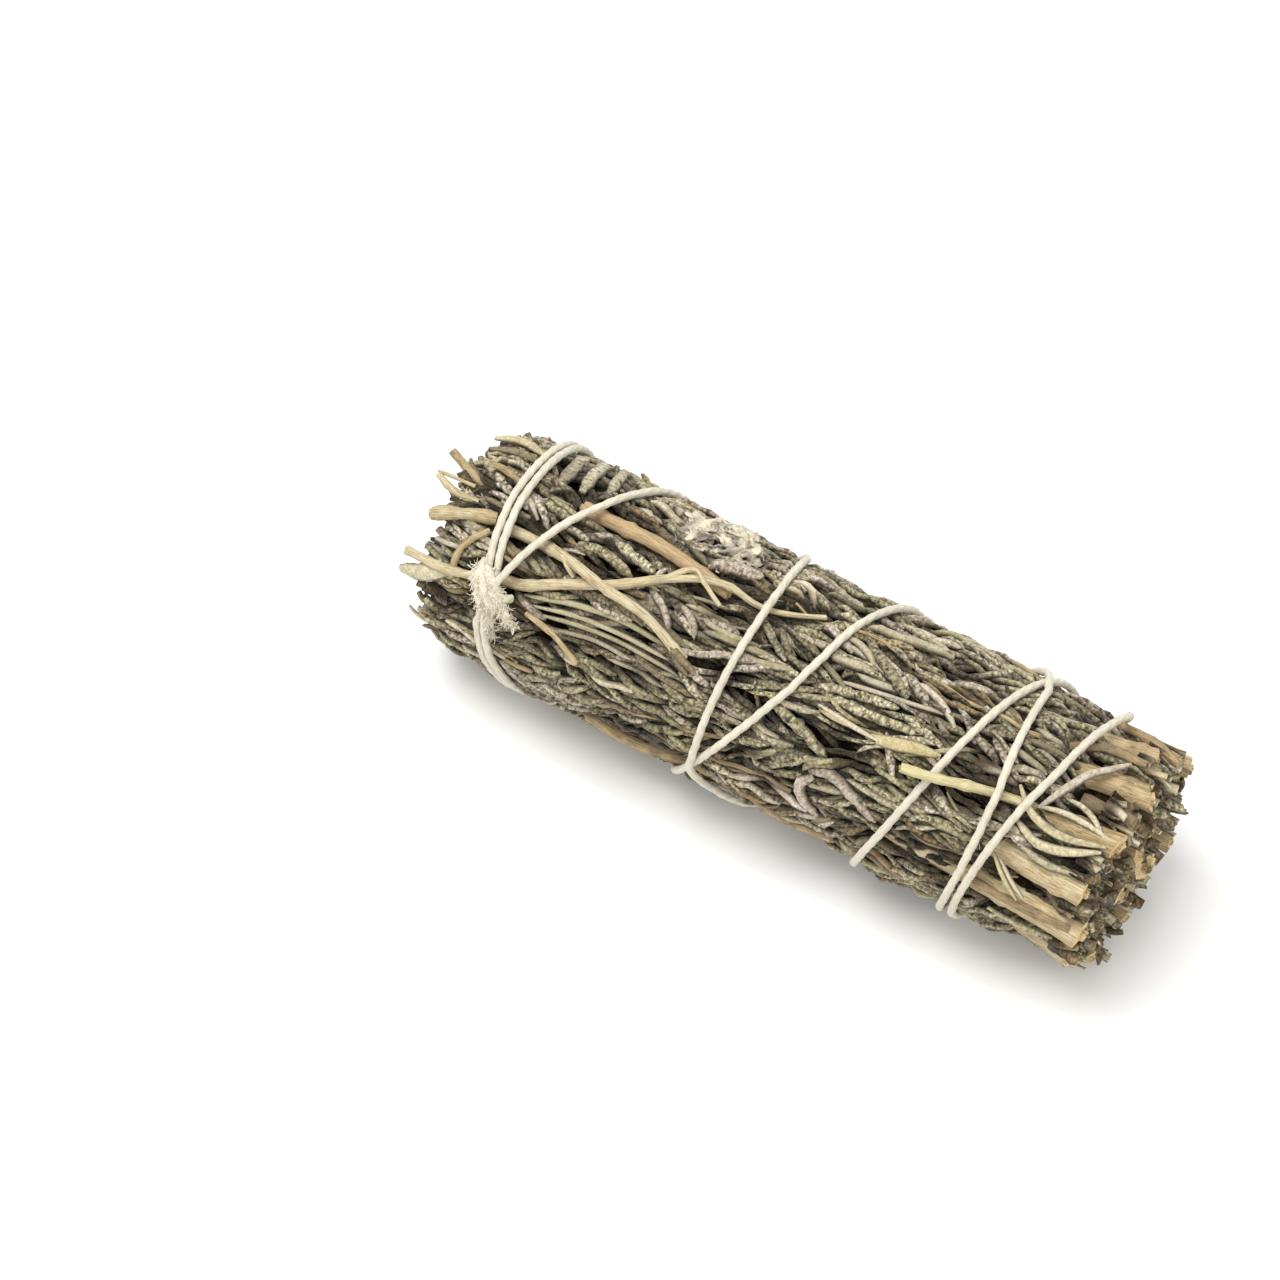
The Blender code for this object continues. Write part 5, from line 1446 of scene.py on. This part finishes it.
class SMUDGE_STICK_OT_woolly_tuft(bpy.types.Operator):
    """Makes the tuft of pale woolly young leaves"""

    bl_idname = "smudge_stick.woolly_tuft"
    bl_label = "Woolly tuft"

    def execute(self, context):
        sizes = context.scene.smudge_stick_tuft
        chance = np.random.default_rng(TUFT_SEED)
        wool = material("woolly_young_leaf", 0.95, felt_finish, sizes.pale, sizes.grey, Sheen_Weight=0.4,
                        Sheen_Roughness=0.6, Specular_IOR_Level=0.2)
        x, angle, half_length, half_width = WOOLLY_PLACE
        strips = []
        for k in range(sizes.petals):
            turn, off = chance.uniform(0, 2 * math.pi), math.sqrt(chance.uniform(0, 1))
            foot_x = x + off * math.cos(turn) * half_length * 0.85
            foot_angle = angle + math.degrees(off * math.sin(turn) * half_width / MAP_RADIUS * 0.8)
            xs, angles = walk(foot_x, foot_angle, chance.normal(0, 0.9), chance.normal(0, 1.8),
                              chance.normal(0, 1.5), chance.uniform(2.0, 4.6))
            share = np.linspace(0, 1, len(xs))
            crown = 1.3 * math.sqrt(max(1 - off**2, 0))
            distance = TUFT_SEAT + crown + chance.uniform(-0.3, 0.5) - 0.7 * (2 * share - 1) ** 2
            distance += 0.22 * np.sin(share * 15 + k)
            width = chance.uniform(0.5, 1.0) * np.sin(math.pi * (0.14 + 0.78 * share)) ** 0.5
            width = width * (1 + 0.22 * np.sin(share * 19 + k))
            tilt = chance.normal(0, 1.1) + 0.7 * np.sin(share * 9 + k)
            up = radial(xs, angles, distance)
            aside = unit(np.cross(up, [1.0, 0.2, 0.1]))
            outward = up * np.cos(tilt)[:, None] + aside * np.sin(tilt)[:, None]
            strips.append(strip(place(xs, angles, distance), outward, width, chance.uniform(0.13, 0.22),
                                chance.uniform(), 14))
        for petal in list(strips):
            for _ in range(sizes.hairs):
                at = chance.integers(len(petal["points"]))
                way = unit(petal["outward"][at] + chance.normal(0, 0.8, 3))
                length = chance.uniform(0.5, 1.2)
                strips.append(hair(chance, petal["points"][at], way, length, radius=0.03, tone=0.5, rings=5))
        piece = swept("woolly_leaf_tuft_felted", strips, wool, 6, seed=60, Lumps=0.2)
        hand_over(piece, "woolly_leaf", "woolly_leaf_tuft")
        return {"FINISHED"}


def knot_turns(radius):
    """The strands of string that lie over the knot."""
    radius = radius * KNOT_SWELLING
    turns = []
    for places in KNOT_TURNS:
        at = np.linspace(0, len(places) - 1, KNOT_RINGS)
        path = [np.interp(at, np.arange(len(places)), values) for values in zip(*places)]
        turns.append(strip_over(path, radius, radius, 0.0, KNOT_RINGS))
    return turns


def loose_hairs(chance, count, points, outward, radius):
    """Short hairs that stand off all along the string."""
    hairs = []
    for _ in range(count):
        at = chance.integers(3, len(points) - 3)
        along = unit(points[at + 1] - points[at])
        way = unit(along * chance.choice([-1, 1]) + outward[at] * 0.25 + chance.normal(0, 0.25, 3))
        start = points[at] + unit(outward[at] + chance.normal(0, 0.7, 3)) * radius * 0.8
        hairs.append(hair(chance, start, way, chance.uniform(0.7, 1.8), radius=0.02, tone=0.2))
    return hairs


def teased_locks(chance, count):
    """The soft locks of cotton over the knot, with the wisps that stand out of them."""
    locks, wisps = [], []
    for radii, places in KNOT_LOCKS:
        path = trace(places)
        size = np.interp(np.linspace(0, 1, len(path[0])), np.linspace(0, 1, len(radii)), radii)
        locks.append(strip_over(path, size, size, 0.3, 14))
    for k in range(count):
        lock = locks[k % len(locks)]
        at = chance.integers(1, len(lock["points"]))
        flow = unit(lock["points"][at] - lock["points"][at - 1])
        aside = unit(chance.normal(0, 1, 3) + lock["outward"][at])
        start = lock["points"][at] + aside * lock["half"][at] * 0.85
        way = unit(flow + aside * chance.uniform(0.1, 0.8) + chance.normal(0, 0.35, 3))
        length, radius = chance.uniform(0.6, 1.7), chance.uniform(0.03, 0.09)
        wisps.append(hair(chance, start, way, length, radius, tone=0.3, curl=0.3))
    return wisps + locks


class SMUDGE_STICK_OT_cotton_string(bpy.types.Operator):
    """Winds the twisted cotton string, with its fluffy knot and its loose hairs"""

    bl_idname = "smudge_stick.cotton_string"
    bl_label = "Cotton string"

    def execute(self, context):
        sizes = context.scene.smudge_stick_string
        chance = np.random.default_rng(STRING_SEED)
        cotton = material("undyed_cotton_yarn", 0.9, cotton_finish, sizes.cotton, Sheen_Weight=0.3,
                          Sheen_Roughness=0.5, Specular_IOR_Level=0.2)
        soft = material("teased_cotton", 0.95, felt_finish, sizes.teased, sizes.teased_painted_shade, Sheen_Weight=0.5,
                        Sheen_Roughness=0.6, Specular_IOR_Level=0.1)
        angles, xs, distances = string_route(RING_STEP)
        path = xs, angles, distances
        points, outward = place(*path), radial(*path)
        radius = sizes.radius / MM
        uneven = radius * (1 + 0.05 * np.sin(angles * 0.21) * np.sin(angles * 0.057))
        yarns = [strip(points, outward, uneven, uneven, 0.0, len(points))] + knot_turns(radius)
        string = swept("cotton_string_twisted", yarns, cotton, 12, seed=70, Lobes=float(sizes.ply),
                       Lobe_Depth=sizes.ply_depth, Twist=2 * math.pi / sizes.lay, Lumps=0.03)
        hairs = loose_hairs(chance, sizes.hairs, points, outward, sizes.radius)
        hairs += teased_locks(chance, sizes.wisps)
        fluff = swept("cotton_fluff", hairs, soft, 7, seed=71, Lumps=0.12)
        fluff.data.polygons.foreach_set("material_index", np.ones(len(fluff.data.polygons), np.int32))
        string.data.materials.append(soft)
        mesh = bmesh.new()
        mesh.from_mesh(string.data)
        mesh.from_mesh(fluff.data)
        mesh.to_mesh(string.data)
        mesh.free()
        bpy.data.objects.remove(fluff, do_unlink=True)
        hand_over(string, "cotton_string", "cotton_string")
        return {"FINISHED"}


class SMUDGE_STICK_OT_stage(bpy.types.Operator):
    """Lays the floor and sets up the lights and the camera"""

    bl_idname = "smudge_stick.stage"
    bl_label = "Stage"

    def execute(self, context):
        sizes = context.scene.smudge_stick_stage
        scene = context.scene
        mesh = bmesh.new()
        bmesh.ops.create_grid(mesh, x_segments=2, y_segments=2, size=FLOOR_HALF_WIDTH)
        floor = bpy.data.meshes.new("studio_floor")
        mesh.to_mesh(floor)
        mesh.free()
        card = material("white_studio_card", 0.9, floor_finish, sizes.floor, Specular_IOR_Level=0.1)
        floor.materials.append(card)
        add_to_scene("studio_floor", floor)

        low, high = CAD_BOX
        middle = (Vector(low) + Vector(high)) / 2
        level = math.cos(sizes.elevation)
        aside, forward = math.sin(sizes.azimuth) * level, -math.cos(sizes.azimuth) * level
        back = Vector((aside, forward, math.sin(sizes.elevation)))
        camera = add_to_scene("photo_camera", bpy.data.cameras.new("photo_camera"))
        camera.data.lens = sizes.lens
        camera.data.sensor_width = SENSOR_WIDTH
        camera.data.clip_start, camera.data.clip_end = 0.01, 20.0
        camera.rotation_euler = back.to_track_quat("Z", "Y").to_euler()
        turned = camera.rotation_euler.to_quaternion()
        right, up = turned @ Vector((1, 0, 0)), turned @ Vector((0, 1, 0))
        seen = sizes.distance * SENSOR_WIDTH / sizes.lens
        off_x, off_y = [place_in_photo - PHOTO_SIZE / 2 for place_in_photo in BUNDLE_IN_PHOTO]
        aim = middle - right * seen * off_x / PHOTO_SIZE + up * seen * off_y / PHOTO_SIZE
        camera.location = aim + back * sizes.distance
        scene.camera = camera

        for name, spot, size, power in LAMPS:
            lamp = add_to_scene(name, bpy.data.lights.new(name, "AREA"))
            lamp.data.size = size
            lamp.data.energy = power
            lamp.location = spot
            lamp.rotation_euler = (Vector(spot) - middle).to_track_quat("Z", "Y").to_euler()
        scene.world = bpy.data.worlds.new("studio")
        scene.world.use_nodes = True
        sky = scene.world.node_tree.nodes["Background"].inputs
        sky["Color"].default_value = (1.0, 1.0, 1.0, 1.0)
        sky["Strength"].default_value = WORLD_LIGHT
        scene.view_settings.view_transform = "Standard"
        return {"FINISHED"}


class SMUDGE_STICK_PT_pieces(bpy.types.Panel):
    """The pieces of the smudge stick, in the order in which they are made"""

    bl_label = "Smudge stick"
    bl_idname = "SMUDGE_STICK_PT_pieces"
    bl_space_type = "VIEW_3D"
    bl_region_type = "UI"
    bl_category = "Smudge stick"

    def draw(self, context):
        for operator in OPERATORS:
            self.layout.operator(operator.bl_idname)
        for group in SETTINGS:
            box = self.layout.box()
            held = getattr(context.scene, group)
            for key in held.bl_rna.properties.keys():
                if key not in ("rna_type", "name"):
                    box.prop(held, key)


SETTINGS = {
    "smudge_stick_leaves": LeafSettings,
    "smudge_stick_stems": StemSettings,
    "smudge_stick_tuft": TuftSettings,
    "smudge_stick_string": StringSettings,
    "smudge_stick_stage": StageSettings,
}
OPERATORS = [
    SMUDGE_STICK_OT_leafy_sprigs,
    SMUDGE_STICK_OT_woody_stems,
    SMUDGE_STICK_OT_woolly_tuft,
    SMUDGE_STICK_OT_cotton_string,
    SMUDGE_STICK_OT_stage,
]


def register():
    for kind in (*SETTINGS.values(), *OPERATORS, SMUDGE_STICK_PT_pieces):
        bpy.utils.register_class(kind)
    for name, kind in SETTINGS.items():
        setattr(bpy.types.Scene, name, bpy.props.PointerProperty(type=kind))


def unregister():
    for name in SETTINGS:
        delattr(bpy.types.Scene, name)
    for kind in (SMUDGE_STICK_PT_pieces, *reversed(OPERATORS), *reversed(SETTINGS.values())):
        bpy.utils.unregister_class(kind)


def main():
    register()
    for operator in OPERATORS:
        group, name = operator.bl_idname.split(".")
        getattr(getattr(bpy.ops, group), name)()


if __name__ == "__main__":
    main()
